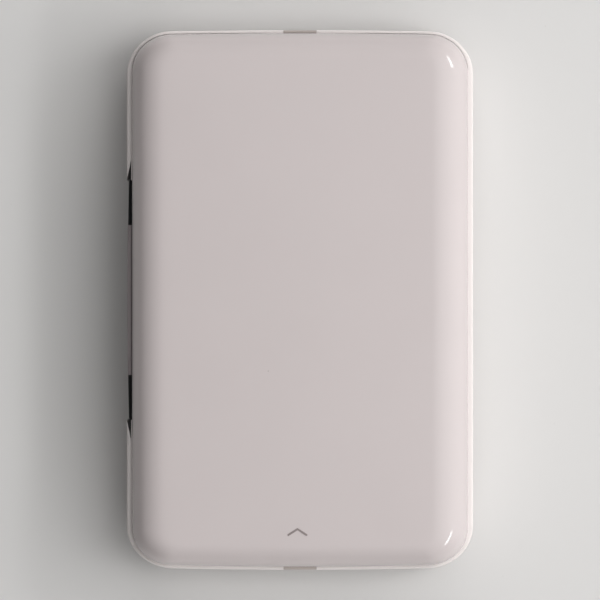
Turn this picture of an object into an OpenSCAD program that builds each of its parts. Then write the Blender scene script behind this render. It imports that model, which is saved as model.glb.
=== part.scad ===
// Pocket photo printer for 50 x 76 mm self-developing paper, closed.
// The paper lies in a tray under a hinged lid. A pick roller pushes the lowest sheet through a gap,
// the platen presses it against the print head, and the drive roller sends it out through the front slot.
// X runs across the paper, +Y along its way out, +Z up. The origin is under the middle, on the table.

/* [Case] */
// Height of the closed printer above the table
case_h = 22; // [21.6:0.2:25]
// Room between the outer gears and the case's side wall
gear_room = 2.9; // [2.7:0.1:3.5]
// Room between the paper and the outside of the case's back
back_room = 5.5; // [5.5:0.1:7]
// Radius of the case's corners, seen from above
corner_r = 9.5; // [9:0.25:10.5]
// Thickness of the case's walls
wall_t = 1.7; // [1.5:0.1:1.8]
// Thickness of the case's floor
floor_t = 1.4; // [1.2:0.1:1.6]
// Rounding along the case's underside
belly_r = 5; // [4:0.5:6]
// Height of the case's rim above the table
rim_z = 15.4; // [15.2:0.1:15.8]
// How far the feet hold the case off the table
foot_proud = 0.6; // [0.4:0.1:1]
// Diameter of a foot
foot_d = 8; // [6:0.5:9]

/* [Lid] */
// How much of the rim shows beside the lid, along each side
side_reveal = 1.1; // [0.9:0.1:1.3]
// How much of the rim shows beside the lid, at each end
end_reveal = 0.7; // [0.6:0.1:0.8]
// Gap between the rim and the lid
lid_gap = 0.3; // [0.2:0.05:0.4]
// Thickness of the lid
lid_t = 1.4; // [1.2:0.1:1.5]
// Rounding along the lid's edge
lid_round = 6; // [5.5:0.1:6.2]
// Diameter of a hinge pin
hinge_pin_d = 1.6; // [1.4:0.1:1.8]
// How deep the lid's locating rib reaches below its edge
tongue_h = 2.1; // [1.5:0.1:2.4]

/* [Control strip] */
// Length of the glossy strip in the left side
strip_l = 52; // [50:1:56]
// Depth of the strip's recess
strip_deep = 1.1; // [1:0.05:1.2]
// Height of the strip's lower edge above the table
strip_z = 4.6; // [4.4:0.1:4.8]
// Height of the row of controls above the table
control_z = 6.8; // [6.7:0.05:7.2]
// Length of the power button
button_l = 8.7; // [7:0.1:10]
// Height of the power button
button_h = 3.1; // [2.6:0.1:3.4]
// How far the power button is pressed
button_travel = 0.5; // [0.3:0.1:0.5]

/* [Paper tray] */
// Width of the paper
paper_w = 50; // [49:0.5:51]
// Length of the paper
paper_l = 76; // [74:1:77]
// Room beside the paper, each side
paper_play = 0.5; // [0.3:0.1:0.6]
// Height of the deck's underside above the inside of the floor
deck_rise = 8.6; // [8.5:0.1:8.9]
// Thickness of the deck
deck_t = 1.2; // [1.1:0.1:1.4]
// Thickness of the tray's walls
tray_wall_t = 1.4; // [1.2:0.1:1.5]
// Height of the tray's walls above the deck
tray_wall_h = 3.1; // [2.8:0.1:3.2]
// Room along the paper in its tray
paper_slack = 1; // [0.8:0.1:1.5]
// Height of the gap that lets one sheet through
sheet_gap = 0.5; // [0.4:0.05:0.7]

/* [Rollers] */
// Diameter of the rubber platen
platen_d = 7; // [6.6:0.1:7]
// Diameter of the pick roller's tyres
pick_d = 7; // [6.8:0.1:7.2]
// How far the tyres stand above the deck
pick_rise = 0.5; // [0.3:0.05:0.6]
// Diameter of the steel drive roller
drive_d = 4.2; // [4:0.1:4.4]
// Diameter of the pinch roller above it
pinch_d = 4; // [3.6:0.1:4.2]
// Diameter of the platen's and the pick roller's shafts
shaft_d = 3; // [2.6:0.1:3]
// From the front of the case back to the platen's axis
platen_back = 20.5; // [20.4:0.1:21.2]
// From the platen's axis back to the front of the paper stack
stop_back = 14; // [14:0.1:15]
// From the front of the case back to the drive roller's axis
drive_back = 9.5; // [9.4:0.1:9.7]

/* [Gears] */
// Module of the gears
gear_m = 0.5; // [0.48:0.005:0.505]
// Pressure angle of the teeth
tooth_angle = 25; // [22:1:26]
// Thickness of a gear
gear_t = 2; // [1.6:0.1:2]
// Play between meshing teeth
backlash = 0.1; // [0.06:0.01:0.14]
// Teeth on the platen's gear
platen_teeth = 20; // [19:1:20]
// Teeth on the pick roller's gear
pick_teeth = 22; // [21:1:22]
// Teeth on the idler between the platen and the pick roller
idler_teeth = 21; // [20:1:22]
// Teeth on the drive roller's gear, the idler above it, and the pinions
pinion_teeth = 12; // [12:1:13]
// Teeth on the large wheel of the reduction gear
wheel_teeth = 22; // [20:1:22]

/* [Engine] */
// Thickness of the steel side plates
plate_t = 1; // [0.8:0.1:1]
// Width of the print head along the paper's way
head_l = 10.5; // [9.5:0.5:11]
// Diameter of the rod on which the print head tilts
pivot_d = 2; // [1.8:0.1:2.2]
// Diameter of the motor
motor_d = 10; // [9:0.5:10]
// Height of the motor over its flats
motor_h = 8; // [7.4:0.1:8]
// Length of the motor's can
motor_l = 16; // [14:0.5:18]

/* [Electronics] */
// Width of the battery
battery_w = 34; // [30:1:34]
// Length of the battery
battery_l = 45; // [40:1:45]
// Thickness of the battery
battery_t = 5; // [4:0.5:6]
// Width of the circuit board
board_w = 20; // [18:0.5:20]
// Thickness of the circuit board
board_t = 1; // [0.8:0.1:1.2]

/* [Fits] */
// Clearance round a shaft in its bearing
run_fit = 0.05; // [0.03:0.01:0.08]
// Clearance round a piece that is pushed on and stays
seat_fit = 0.02; // [0.01:0.01:0.04]
// Gap beside a piece that is laid into its place
lay_fit = 0.1; // [0.05:0.01:0.15]

/* [Hidden] */
$fn = 64;

// Colours
WHITE = [0.93, 0.92, 0.91];
BLACK = [0.09, 0.09, 0.10];
DARK = [0.17, 0.17, 0.18];
STEEL = [0.68, 0.69, 0.71];
ALUMINIUM = [0.78, 0.79, 0.80];
RUBBER = [0.13, 0.13, 0.13];
IVORY = [0.90, 0.87, 0.78];
TAN = [0.62, 0.58, 0.54];
GREEN = [0.08, 0.32, 0.22];
BRASS = [0.80, 0.66, 0.36];
over = 0.01;

// Case: across from the tray to the side wall, along from the paper's back to the front
tray_x = paper_w / 2 + paper_play;
cheek_x = tray_x + tray_wall_t;
plate_out = cheek_x + plate_t;
flange_t = 0.5;
gear_x = plate_out + flange_t + 0.2;
layer_gap = 0.3;
outer_gear_x = gear_x + gear_t + layer_gap;
wall_x = outer_gear_x + gear_t + gear_room;
inner_w = 2 * wall_x;
case_w = inner_w + 2 * wall_t;
stack_front = platen_back + stop_back;
case_l = back_room + paper_l + paper_slack + stack_front;
inner_l = case_l - 2 * wall_t;
front_y = case_l / 2;
tray_back = back_room - front_y;
stack_stop = front_y - stack_front;
floor_z = foot_proud + floor_t;

// Lid
lid_w = case_w - 2 * side_reveal;
lid_l = case_l - 2 * end_reveal;
lid_r = corner_r - side_reveal;
lid_z = rim_z + lid_gap;
ceiling_z = case_h - lid_t;
hinge_y = front_y - 4.5;
hinge_z = rim_z + 1.6;
hinge_pin_r = hinge_pin_d / 2;
knuckle_r = hinge_pin_r + 1.4;
nose_r = hinge_pin_r + 1;
swing_gap = 0.2;
swing_r = norm([lid_l / 2 - hinge_y, hinge_z - lid_z]) + swing_gap;

// Deck and paper
deck_z = floor_z + deck_rise;
deck_top = deck_z + deck_t;
paper_z = deck_top + 0.2;
tray_top = deck_top + tray_wall_h;

// Rollers: [y, z] of each axis
platen_at = [front_y - platen_back, paper_z - platen_d / 2];
drive_at = [front_y - drive_back, paper_z - drive_d / 2];
pinch_lift = 0.25;
pinch_at = [drive_at[0], paper_z + pinch_lift + pinch_d / 2];
journal_r = 1.2;
pinch_shaft_r = 0.9;
shaft_r = shaft_d / 2;

// Gears: pitch radii and places, each gear held at its true distance from the next
function pitch_r(teeth) = gear_m * teeth / 2;
function tip_r(teeth) = pitch_r(teeth) + gear_m * 0.95;
// The point at distance ra from a and rb from b, to the left of the way from a to b
function apex(a, b, ra, rb) =
    let (d = norm(b - a), u = (b - a) / d, x = (ra * ra - rb * rb + d * d) / (2 * d), h = sqrt(ra * ra - x * x))
    a + u * x + [-u[1], u[0]] * h;
function heading(a, b) = atan2(b[1] - a[1], b[0] - a[0]);
// The turn that brings a gear with n2 teeth into mesh with one of n1 teeth that is turned by t1
function meshed(n1, t1, a, b, n2) = heading(a, b) + 180 - (180 - n1 * (heading(a, b) - t1)) / n2;

pick_z = deck_top + pick_rise - pick_d / 2;
pick_reach = pitch_r(platen_teeth) + 2 * pitch_r(idler_teeth) + pitch_r(pick_teeth);
pick_at = [platen_at[0] - sqrt(pick_reach * pick_reach - pow(pick_z - platen_at[1], 2)), pick_z];
middle_at = platen_at + (pick_at - platen_at) * (pitch_r(platen_teeth) + pitch_r(idler_teeth)) / pick_reach;
front_at = apex(platen_at, drive_at, pitch_r(platen_teeth + pinion_teeth), pitch_r(2 * pinion_teeth));
motor_at = [pick_at[0] - 14, floor_z + 0.4 + motor_h / 2];
reduction_at = apex(motor_at, pick_at, pitch_r(pinion_teeth + wheel_teeth), pitch_r(pinion_teeth + pick_teeth));

platen_turn = 0;
middle_turn = meshed(platen_teeth, platen_turn, platen_at, middle_at, idler_teeth);
pick_turn = meshed(idler_teeth, middle_turn, middle_at, pick_at, pick_teeth);
front_turn = meshed(platen_teeth, platen_turn, platen_at, front_at, pinion_teeth);
drive_turn = meshed(pinion_teeth, front_turn, front_at, drive_at, pinion_teeth);
reduction_turn = meshed(pick_teeth, pick_turn, pick_at, reduction_at, pinion_teeth);
motor_turn = meshed(wheel_teeth, reduction_turn, reduction_at, motor_at, pinion_teeth);

// Studs, motor and hinge knuckles
stud_foot_r = 1.2;
stud_r = 1;
motor_nose_r = 2;
motor_shaft_r = 0.75;
knuckle_x = cheek_x + 0.25;
knuckle_w = 2.4;
roller_half = paper_w / 2;
stop_z = ceiling_z - 1.15;

// Print head
pivot_r = pivot_d / 2;
head_y = platen_at[0] + 0.25;
head_back = head_y - head_l / 2;
ceramic_t = 1;
ceramic_l = 8;
head_z = paper_z + 0.2;
sink_z = head_z + ceramic_t;
sink_t = 3;
sink_top = sink_z + sink_t;
pivot_at = [head_back - pivot_r - 1.5, sink_z + 1.6];
bridge_t = 0.8;
bridge_z = sink_top + 2;
bridge_l = 4.4;
spring_y = head_y + head_l / 2 - 2;
head_spring_x = 16;

// Paper pressure plate, hung at the back of the lid and held down by springs at its front
press_w = paper_w - 2;
press_t = 1;
press_pivot = [tray_back + 6, ceiling_z - 2];
press_pin_r = 0.9;
press_l = pick_at[0] - press_pivot[0] + 4;
press_drop = asin((press_pivot[1] - press_t / 2 - deck_top - pick_rise - 0.35) / (pick_at[0] - press_pivot[0]));
press_spring = [14, pick_at[0] - 3];
press_spring_z = press_pivot[1] - (press_spring[1] - press_pivot[0]) * tan(press_drop) + press_t / 2 + 0.2;

// Electronics
board_top = control_z - 1.4;
board_z = board_top - board_t;
board_x = -wall_x + 2.6;
board_y = 32;
board_tail = platen_at[0] + 3;
board_tail_w = 5;
usb_y = -15;
usb_w = 7.6;
usb_h = 2.6;
usb_l = 5.2;
reset_y = -4;
led_at = [3, 7];
led_r = 0.8;
button_y = 17;
switch_x = board_x + 0.4;
ribbon_x = board_x + 2.8;
ribbon_w = 6.4;
ribbon_t = 0.2;
ribbon_y = head_back - 0.6;
ribbon_top = sink_top + 1.2;
plunger_at = [board_x + 2.2, 24];
plunger_r = 1;
battery_x = board_x + board_w + 3.2 + battery_w / 2;
battery_y = motor_at[0] - motor_d / 2 - 2;
foam_t = 0.3;

// Leads between the battery, the motor and the board
lead_r = 0.5;
lead_gap = 1.15;
plug_x = board_x + board_w - 3.3;
battery_plug_y = battery_y - 4.5;
battery_lead = [
    [battery_x - battery_w / 2 - 0.1, battery_plug_y + lead_gap / 2, floor_z + 2.9],
    [battery_x - battery_w / 2 - 1.4, battery_plug_y + lead_gap / 2, floor_z + 3.1],
    [battery_x - battery_w / 2 - 2.8, battery_plug_y + lead_gap / 2, board_top + 1],
    [battery_x - battery_w / 2 - 4, battery_plug_y + lead_gap / 2, board_top + 1.1],
    [plug_x, battery_plug_y + lead_gap / 2, board_top + 1.1]
];
motor_lead = [
    [cheek_x - motor_l - 0.95, motor_at[0] + 1.6, motor_at[1]],
    [cheek_x - motor_l - 3, motor_at[0] + 1.6, motor_at[1]],
    [0, motor_at[0] + 1.2, floor_z + 4.6],
    [-8, motor_at[0] + 0.6, floor_z + 4.4],
    [plug_x + 3, motor_at[0] + 0.6, board_top + 1.1],
    [plug_x, motor_at[0] + 0.6, board_top + 1.1]
];

// Fastenings: [x, y] of the four case screws
back_post_x = wall_x - 8.8;
front_post_x = wall_x - 13.8;
case_posts = [[-back_post_x, -front_y + 7], [back_post_x, -front_y + 7],
              [-front_post_x, front_y - 4.4], [front_post_x, front_y - 4.4]];
post_r = 2.3;
post_split = floor_z + 3.4;
screw_r = 1;
screw_head_r = 1.7;
screw_sink = 1.3;
foot_at = [back_post_x, front_y - 15.5];
foot_recess = 0.6;
exit_z = deck_top - 0.1;
exit_h = 1.2;
exit_lip = 0.5;
exit_w = paper_w + 3;
sensor_x = board_x + 16.2;
sensor_at = [head_back - 5.5, deck_z - 1.5];
sensor_pin_r = 0.6;
pick_x = 9;
tyre_w = 8;
tab_w = 7.2;
tab_z = rim_z - 1.6;
hook_at = 19;
hook_w = 6;
catch_d = 0.95;
plate_screw_at = [[pick_at[0] + 3.5, tray_top - 0.9], [platen_at[0] - 1.5, tray_top - 1.9]];
plate_screw_r = 0.8;

// --- Shared forms -------------------------------------------------------------------------------------

// The half section of a slab whose upper outer edge is rounded
module edge_section(reach, h, edge) {
    square([reach - edge, h]);
    square([reach, h - edge]);
    translate([reach - edge, h - edge]) intersection() {
        circle(r = edge);
        square(edge);
    }
}

// A slab with round corners in plan and a round upper edge all round
module soft_slab(w, l, r, h, edge) {
    for (sx = [-1, 1], sy = [-1, 1])
        translate([sx * (w / 2 - r), sy * (l / 2 - r), 0])
            rotate_extrude() edge_section(r, h, edge);
    for (turn = [0, 180])
        rotate([0, 0, turn]) translate([w / 2 - r, l / 2 - r, 0]) {
            rotate([90, 0, 0]) linear_extrude(l - 2 * r) edge_section(r, h, edge);
            rotate([90, 0, -90]) mirror([1, 0, 0]) linear_extrude(w - 2 * r) edge_section(r, h, edge);
        }
    translate([-w / 2 + r - 1, -l / 2 + r - 1, 0]) cube([w - 2 * r + 2, l - 2 * r + 2, h]);
}

// A rounded rectangle in plan
module round_plan(w, l, r) {
    square([w - 2 * r, l], center = true);
    square([w, l - 2 * r], center = true);
    for (sx = [-1, 1], sy = [-1, 1])
        translate([sx * (w / 2 - r), sy * (l / 2 - r)]) circle(r = r);
}

// Stands a drawing of Y and Z up and gives it a thickness from x on towards +X
module across(x, t) {
    translate([x, 0, 0]) rotate([90, 0, 90]) linear_extrude(t) children();
}

// A round bar along X between two places, about the axis at [y, z]
module bar(at, x0, x1, r) {
    translate([x0, at[0], at[1]]) rotate([0, 90, 0]) cylinder(r = r, h = x1 - x0);
}

// A box from one corner to the opposite one
module block(low, high) {
    translate(low) cube(high - low);
}

// Both sides of the case
module both_sides() {
    children();
    mirror([1, 0, 0]) children();
}

// A pill shape along Y, drawn as Y and Z
module pill(l, h) {
    square([l - h, h], center = true);
    for (s = [-1, 1]) translate([s * (l - h) / 2, 0]) circle(d = h);
}

// One flank point of an involute tooth: radius r, on the side s of the tooth's middle line
function roll(r, base) = let (a = acos(min(1, base / r))) tan(a) * 180 / PI - a;
function flank(r, teeth, s) =
    let (pitch = pitch_r(teeth), base = pitch * cos(tooth_angle),
         half = 90 / teeth - backlash / 4 / pitch * 180 / PI,
         turn = half + roll(pitch, base) - roll(max(r, base), base))
    [r, s * turn];
function gear_outline(teeth) =
    let (pitch = pitch_r(teeth), base = pitch * cos(tooth_angle), root = pitch - 1.25 * gear_m,
         start = max(base, root), tip = tip_r(teeth), steps = 4,
         radii = concat([root], [for (i = [0:steps]) start + (tip - start) * i / steps]),
         last = len(radii) - 1,
         tooth = concat([for (i = [0:last]) flank(radii[i], teeth, -1)],
                        [for (i = [last:-1:0]) flank(radii[i], teeth, 1)]))
    [for (k = [0:teeth - 1]) for (p = tooth) p[0] * [cos(p[1] + k * 360 / teeth), sin(p[1] + k * 360 / teeth)]];

// A spur gear at [y, z], from x on towards +X, turned by turn, with a bore and a hub on its outer side
module spur_gear(teeth, at, x, turn, bore_r, hub_r, hub_t) {
    difference() {
        union() {
            translate([x, at[0], at[1]]) rotate([90, 0, 90]) linear_extrude(gear_t)
                rotate(turn) polygon(gear_outline(teeth));
            bar(at, x, x + gear_t + hub_t, hub_r);
        }
        bar(at, x - 1, x + gear_t + hub_t + 1, bore_r);
    }
}

// A round wire or tube along a list of points, as one closed skin of rings
function ring_at(path, i, r, sides) =
    let (last = len(path) - 1,
         d = path[min(i + 1, last)] - path[max(i - 1, 0)],
         t = d / norm(d),
         ref = abs(t[2]) > 0.9 ? [1, 0, 0] : [0, 0, 1],
         u = cross(t, ref) / norm(cross(t, ref)),
         v = cross(t, u))
    [for (k = [0:sides - 1]) path[i] + r * (cos(k * 360 / sides) * u + sin(k * 360 / sides) * v)];
module tube(path, r, sides) {
    rings = len(path);
    points = [for (i = [0:rings - 1]) each ring_at(path, i, r, sides)];
    skin = [for (i = [0:rings - 2]) for (k = [0:sides - 1])
        let (a = i * sides + k, b = i * sides + (k + 1) % sides) each [[a, b, b + sides], [a, b + sides, a + sides]]];
    ends = [[for (k = [sides - 1:-1:0]) k], [for (k = [0:sides - 1]) (rings - 1) * sides + k]];
    polyhedron(points, concat(skin, ends), convexity = 4);
}

// A compression spring that stands on z0: close turns at both ends, open ones between
function coil_z(s, h, wire) = wire * 0.75 + (h - wire * 1.5) * (s < 0.12 ? 0 : s > 0.88 ? 1 : (s - 0.12) / 0.76);
module coil_spring(x, y, z0, h, r, wire, turns) {
    steps = turns * 12;
    path = [for (i = [0:steps])
        [x + r * cos(i * 30), y + r * sin(i * 30), z0 + coil_z(i / steps, h, wire) + wire * 0.3 * (i / steps - 0.5)]];
    tube(path, wire / 2, 6);
}

// A machine screw with its head down, its shank up from z
module screw_up(x, y, z, head_r, head_h, r, l) {
    translate([x, y, z]) difference() {
        union() {
            cylinder(r = head_r, h = head_h);
            cylinder(r = r, h = head_h + l);
        }
        for (turn = [0, 90]) rotate([0, 0, turn])
            translate([-head_r * 0.6, -0.2, -1]) cube([head_r * 1.2, 0.4, 1 + head_h * 0.5]);
    }
}

// --- Case ---------------------------------------------------------------------------------------------

module case_outside() {
    translate([0, 0, rim_z]) mirror([0, 0, 1])
        soft_slab(case_w, case_l, corner_r, rim_z - foot_proud, belly_r);
}

module case_inside() {
    translate([0, 0, rim_z + 5]) mirror([0, 0, 1])
        soft_slab(inner_w, inner_l, corner_r - wall_t, rim_z + 5 - floor_z, belly_r - wall_t);
}

// The space that the lid's front edge swings through
module swing_space() {
    intersection() {
        bar([hinge_y, hinge_z], -case_w / 2, case_w / 2, swing_r);
        translate([0, 0, deck_z]) linear_extrude(case_h)
            round_plan(lid_w + 2 * swing_gap, lid_l + 2 * swing_gap, lid_r + swing_gap);
    }
}

// Everything in the strip that reaches through the case's wall, grown by a gap
module control_holes(gap) {
    across(-case_w / 2 - 1, wall_t + 4) {
        translate([button_y, control_z]) pill(button_l + 2 * gap, button_h + 2 * gap);
        for (y = led_at) translate([y, control_z]) circle(r = led_r + seat_fit);
        translate([reset_y, control_z]) circle(r = 0.6);
        translate([usb_y, control_z]) square([usb_w + 2 * gap, usb_h + 2 * gap], center = true);
    }
}

module base_shell() {
    color(WHITE) difference() {
        union() {
            difference() {
                case_outside();
                case_inside();
            }
            // backing of the control strip
            block([-wall_x - over, -strip_l / 2 - 1, floor_z + 2],
                  [-wall_x + 0.9, strip_l / 2 + 1, rim_z - tongue_h - 0.3]);
            // posts for the case screws
            for (p = case_posts) translate([p[0], p[1], floor_z - over])
                cylinder(r = post_r, h = post_split - floor_z + over);
            // standoffs under the circuit board
            for (y = [-board_y + 3, 0, board_y - 3]) translate([board_x + board_w - 3, y, floor_z - over])
                cylinder(r = 1.6, h = board_z - floor_z + over);
            // rails beside the battery
            for (s = [-1, 1]) block([battery_x + s * (battery_w / 2 + 0.9) - 0.5, battery_y - battery_l + 4, floor_z - over],
                                    [battery_x + s * (battery_w / 2 + 0.9) + 0.5, battery_y - 6, floor_z + 2.4]);
            // catches for the lid's hooks
            both_sides() block([hook_at - hook_w / 2 - 0.4, -inner_l / 2 - over, lid_z - 3],
                               [hook_at + hook_w / 2 + 0.4, -inner_l / 2 + catch_d, lid_z - 2]);
            // cradle under the motor
            for (x = [cheek_x - motor_l + 3, cheek_x - 4])
                block([x, motor_at[0] - 3, floor_z - over], [x + 1.2, motor_at[0] + 3, floor_z + 0.35]);
        }
        swing_space();
        // recess for the strip and the holes behind it
        block([-case_w / 2 - 1, -strip_l / 2, strip_z], [-case_w / 2 + strip_deep, strip_l / 2, rim_z + 1]);
        control_holes(0.15);
        // paper slot
        block([-exit_w / 2 - exit_lip, front_y - wall_t - 1, exit_z - exit_lip],
              [exit_w / 2 + exit_lip, front_y + 1, exit_z + exit_h + exit_lip]);
        // end tabs
        for (s = [-1, 1]) scale([1, s, 1])
            block([-tab_w / 2, front_y - wall_t * 0.6, tab_z], [tab_w / 2, front_y + 1, rim_z + 1]);
        // feet
        for (sx = [-1, 1], sy = [-1, 1]) translate([sx * foot_at[0], sy * foot_at[1], 0])
            cylinder(d = foot_d + 2 * lay_fit, h = foot_proud + foot_recess);
        // case screws
        for (p = case_posts) translate([p[0], p[1], 0]) {
            cylinder(r = screw_head_r + 0.2, h = foot_proud + screw_sink);
            cylinder(r = screw_r + 0.15, h = post_split + 1);
        }
    }
}

// The glossy strip, which bows out a little along its length and dips at both ends
module side_panel() {
    face_x = -case_w / 2 + 0.1;
    sag = 0.3;
    half = strip_l / 2 - lay_fit;
    steps = 16;
    bow = [for (i = [-steps:steps]) [face_x + sag * pow(i / steps, 2), half * i / steps]];
    back = -case_w / 2 + strip_deep;
    color(BLACK) difference() {
        translate([0, 0, strip_z + lay_fit]) linear_extrude(rim_z - strip_z - lay_fit)
            polygon(concat(bow, [[back, half], [back, -half]]));
        control_holes(0.15);
    }
}

module power_button() {
    back_x = -wall_x + 0.9 + 0.1;
    color(DARK) {
        across(-case_w / 2 + 0.3, back_x + case_w / 2 - 0.3)
            translate([button_y, control_z]) pill(button_l, button_h);
        across(back_x - over, 0.6 + over)
            translate([button_y, control_z]) pill(button_l + 1.6, button_h + 1.2);
        bar([button_y, control_z], back_x + 0.5, switch_x - button_travel - 0.05, 0.9);
    }
}

module led_windows() {
    color(IVORY) for (y = led_at) bar([y, control_z], -case_w / 2 + 0.15, board_x + 0.3, led_r);
}

module usb_socket() {
    x0 = -case_w / 2 + 0.5;
    color(STEEL) across(x0, usb_l) translate([usb_y, control_z]) difference() {
        square([usb_w, usb_h], center = true);
        polygon([[-usb_w / 2 + 0.35, usb_h / 2 - 0.35], [usb_w / 2 - 0.35, usb_h / 2 - 0.35],
                 [usb_w / 2 - 0.35, -0.2], [usb_w / 2 - 1, -usb_h / 2 + 0.35],
                 [-usb_w / 2 + 1, -usb_h / 2 + 0.35], [-usb_w / 2 + 0.35, -0.2]]);
    }
}

module usb_tongue() {
    x0 = -case_w / 2 + 1.2;
    color(BLACK) block([x0, usb_y - 2.1, control_z - 0.05], [-case_w / 2 + usb_l, usb_y + 2.1, control_z + 0.55]);
}

module end_tabs() {
    color(TAN) for (s = [-1, 1]) scale([1, s, 1]) difference() {
        block([-tab_w / 2 + seat_fit, front_y - wall_t * 0.6 + seat_fit, tab_z + seat_fit],
              [tab_w / 2 - seat_fit, front_y - 0.05, rim_z]);
        if (s > 0) swing_space();
    }
}

module exit_bezel() {
    z0 = exit_z - exit_lip + seat_fit;
    z1 = exit_z + exit_h + exit_lip - seat_fit;
    x1 = exit_w / 2 + exit_lip - seat_fit;
    color(BLACK) difference() {
        block([-x1, front_y - wall_t, z0], [x1, front_y - 0.15, z1]);
        block([-exit_w / 2, front_y - wall_t - 1, exit_z], [exit_w / 2, front_y + 1, exit_z + exit_h]);
    }
}

module feet() {
    color(RUBBER) for (sx = [-1, 1], sy = [-1, 1]) translate([sx * foot_at[0], sy * foot_at[1], 0])
        rotate_extrude() edge_foot();
}

// Half section of a foot: a pad with a chamfered lower edge
module edge_foot() {
    r = foot_d / 2;
    polygon([[0, 0], [r - 0.4, 0], [r, 0.4], [r, foot_proud + foot_recess], [0, foot_proud + foot_recess]]);
}

module case_screws() {
    z0 = foot_proud + 0.15;
    color(STEEL) for (p = case_posts)
        screw_up(p[0], p[1], z0, screw_head_r, screw_sink - 0.15, screw_r, deck_z - 1 - z0 - screw_sink);
}

// --- Paper tray and deck ------------------------------------------------------------------------------

// One side wall of the tray, drawn as Y and Z, with the ear for the lid's hinge at its front
module tray_wall_outline() {
    ear_back = drive_at[0] - 5;
    wall_front = hinge_y - 1.1;
    difference() {
        union() {
            translate([tray_back - 1.2, deck_z]) square([wall_front - tray_back + 1.2, tray_top - deck_z]);
            translate([ear_back, deck_z]) square([wall_front - ear_back, hinge_z + nose_r - deck_z]);
            translate([ear_back, hinge_z - nose_r]) square([hinge_y - ear_back, 2 * nose_r]);
            translate([hinge_y, hinge_z]) circle(r = nose_r);
        }
        translate([hinge_y, hinge_z]) circle(r = hinge_pin_r + seat_fit);
        translate(drive_at) circle(r = journal_r + 0.3);
        translate([pinch_at[0] - pinch_shaft_r - 0.1, pinch_at[1] - pinch_shaft_r - 0.3])
            square([2 * pinch_shaft_r + 0.2, 3]);
        translate([pivot_at[0] - pivot_r - 0.2, pivot_at[1] - pivot_r - 0.2]) square([2 * pivot_r + 0.4, 5]);
        for (p = plate_screw_at) translate(p) circle(r = plate_screw_r + seat_fit);
    }
}

module paper_tray() {
    slot_pitch = (pick_at[0] - tray_back - 34) / 2;
    pick_window = sqrt(pow(pick_d / 2, 2) - pow(pick_z - deck_z, 2)) + 0.5;
    color(BLACK) difference() {
        union() {
            difference() {
                // deck from the back of the tray to the paper slot
                block([-cheek_x, tray_back - 1.2, deck_z], [cheek_x, front_y - wall_t - 0.2, deck_top]);
                // swing of the lid's front edge
                block([-cheek_x - 1, hinge_y - 1, deck_top - 0.2], [-exit_w / 2, front_y, deck_top + 1]);
                block([exit_w / 2, hinge_y - 1, deck_top - 0.2], [cheek_x + 1, front_y, deck_top + 1]);
            }
            both_sides() across(tray_x, tray_wall_t) tray_wall_outline();
            // back wall and the front stop, with the gap under it for one sheet
            block([-cheek_x, tray_back - 1.2, deck_z], [cheek_x, tray_back, tray_top]);
            block([-cheek_x, stack_stop, deck_top + sheet_gap], [cheek_x, stack_stop + 1.2, tray_top]);
            // ears and bosses for the case screws
            for (p = case_posts) {
                translate([p[0], p[1], post_split + 0.1]) cylinder(r = post_r - 0.1, h = deck_z - post_split);
                if (p[1] < 0) block([min(p[0], sign(p[0]) * tray_x) - (p[0] < 0 ? post_r : 0), p[1] - post_r, deck_z],
                                    [max(p[0], sign(p[0]) * tray_x) + (p[0] > 0 ? post_r : 0), p[1] + post_r, deck_top]);
            }
            // eyelet that guides the lid plunger
            block([plunger_at[0], plunger_at[1] - 2, deck_z], [-tray_x, plunger_at[1] + 2, deck_top]);
            translate([plunger_at[0], plunger_at[1], deck_z]) cylinder(r = 2, h = deck_t + 1.2);
            // ears for the paper sensor's pin
            for (s = [-1, 1]) translate([sensor_x + s * 1.9, 0, 0]) across(-0.5, 1) {
                translate([sensor_at[0], sensor_at[1]]) circle(r = 1.3);
                translate([sensor_at[0] - 1.3, sensor_at[1]]) square([2.6, deck_z - sensor_at[1] + 0.1]);
            }
        }
        // windows over the rollers
        block([-tray_x, platen_at[0] - platen_d / 2 - 0.4, deck_z - 1],
              [tray_x, platen_at[0] + platen_d / 2 + 0.4, deck_top + 0.1]);
        block([-tray_x, drive_at[0] - drive_d / 2 - 0.4, deck_z - 1],
              [tray_x, drive_at[0] + drive_d / 2 + 0.4, deck_top + 0.1]);
        for (s = [-1, 1]) block([s * pick_x - tyre_w / 2 - 0.5, pick_at[0] - pick_window, deck_z - 1],
                                [s * pick_x + tyre_w / 2 + 0.5, pick_at[0] + pick_window, deck_top + 1]);
        // room for the drive roller's journals
        both_sides() bar(drive_at, tray_x - 0.5, cheek_x + 0.5, journal_r + 0.3);
        // slot for the sensor's arm
        block([sensor_x - 1.2, sensor_at[0] - 1.4, deck_z - 0.1], [sensor_x + 1.2, sensor_at[0] + 2.6, deck_top + 0.1]);
        bar(sensor_at, sensor_x - 4, sensor_x + 4, sensor_pin_r + seat_fit);
        // lightening slots under the paper
        for (s = [-1, 1], i = [0:2]) translate([s * (tray_x - 7.5), tray_back + 10 + i * slot_pitch, deck_z - 1])
             linear_extrude(deck_t + 2) round_plan(8, 12, 2);
        // threads and the plunger's hole
        for (p = case_posts) translate([p[0], p[1], post_split - 1]) cylinder(r = screw_r + seat_fit, h = deck_z - post_split);
        translate([plunger_at[0], plunger_at[1], deck_z - 1]) cylinder(r = plunger_r + run_fit, h = deck_t + 4);
    }
}

// Foam pad on the back wall that steadies the stack
module tray_pad() {
    color(DARK) block([-8, tray_back + 0.02, deck_top + 0.6], [8, tray_back + 0.6, tray_top - 0.4]);
}

// --- Electronics --------------------------------------------------------------------------------------

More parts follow.
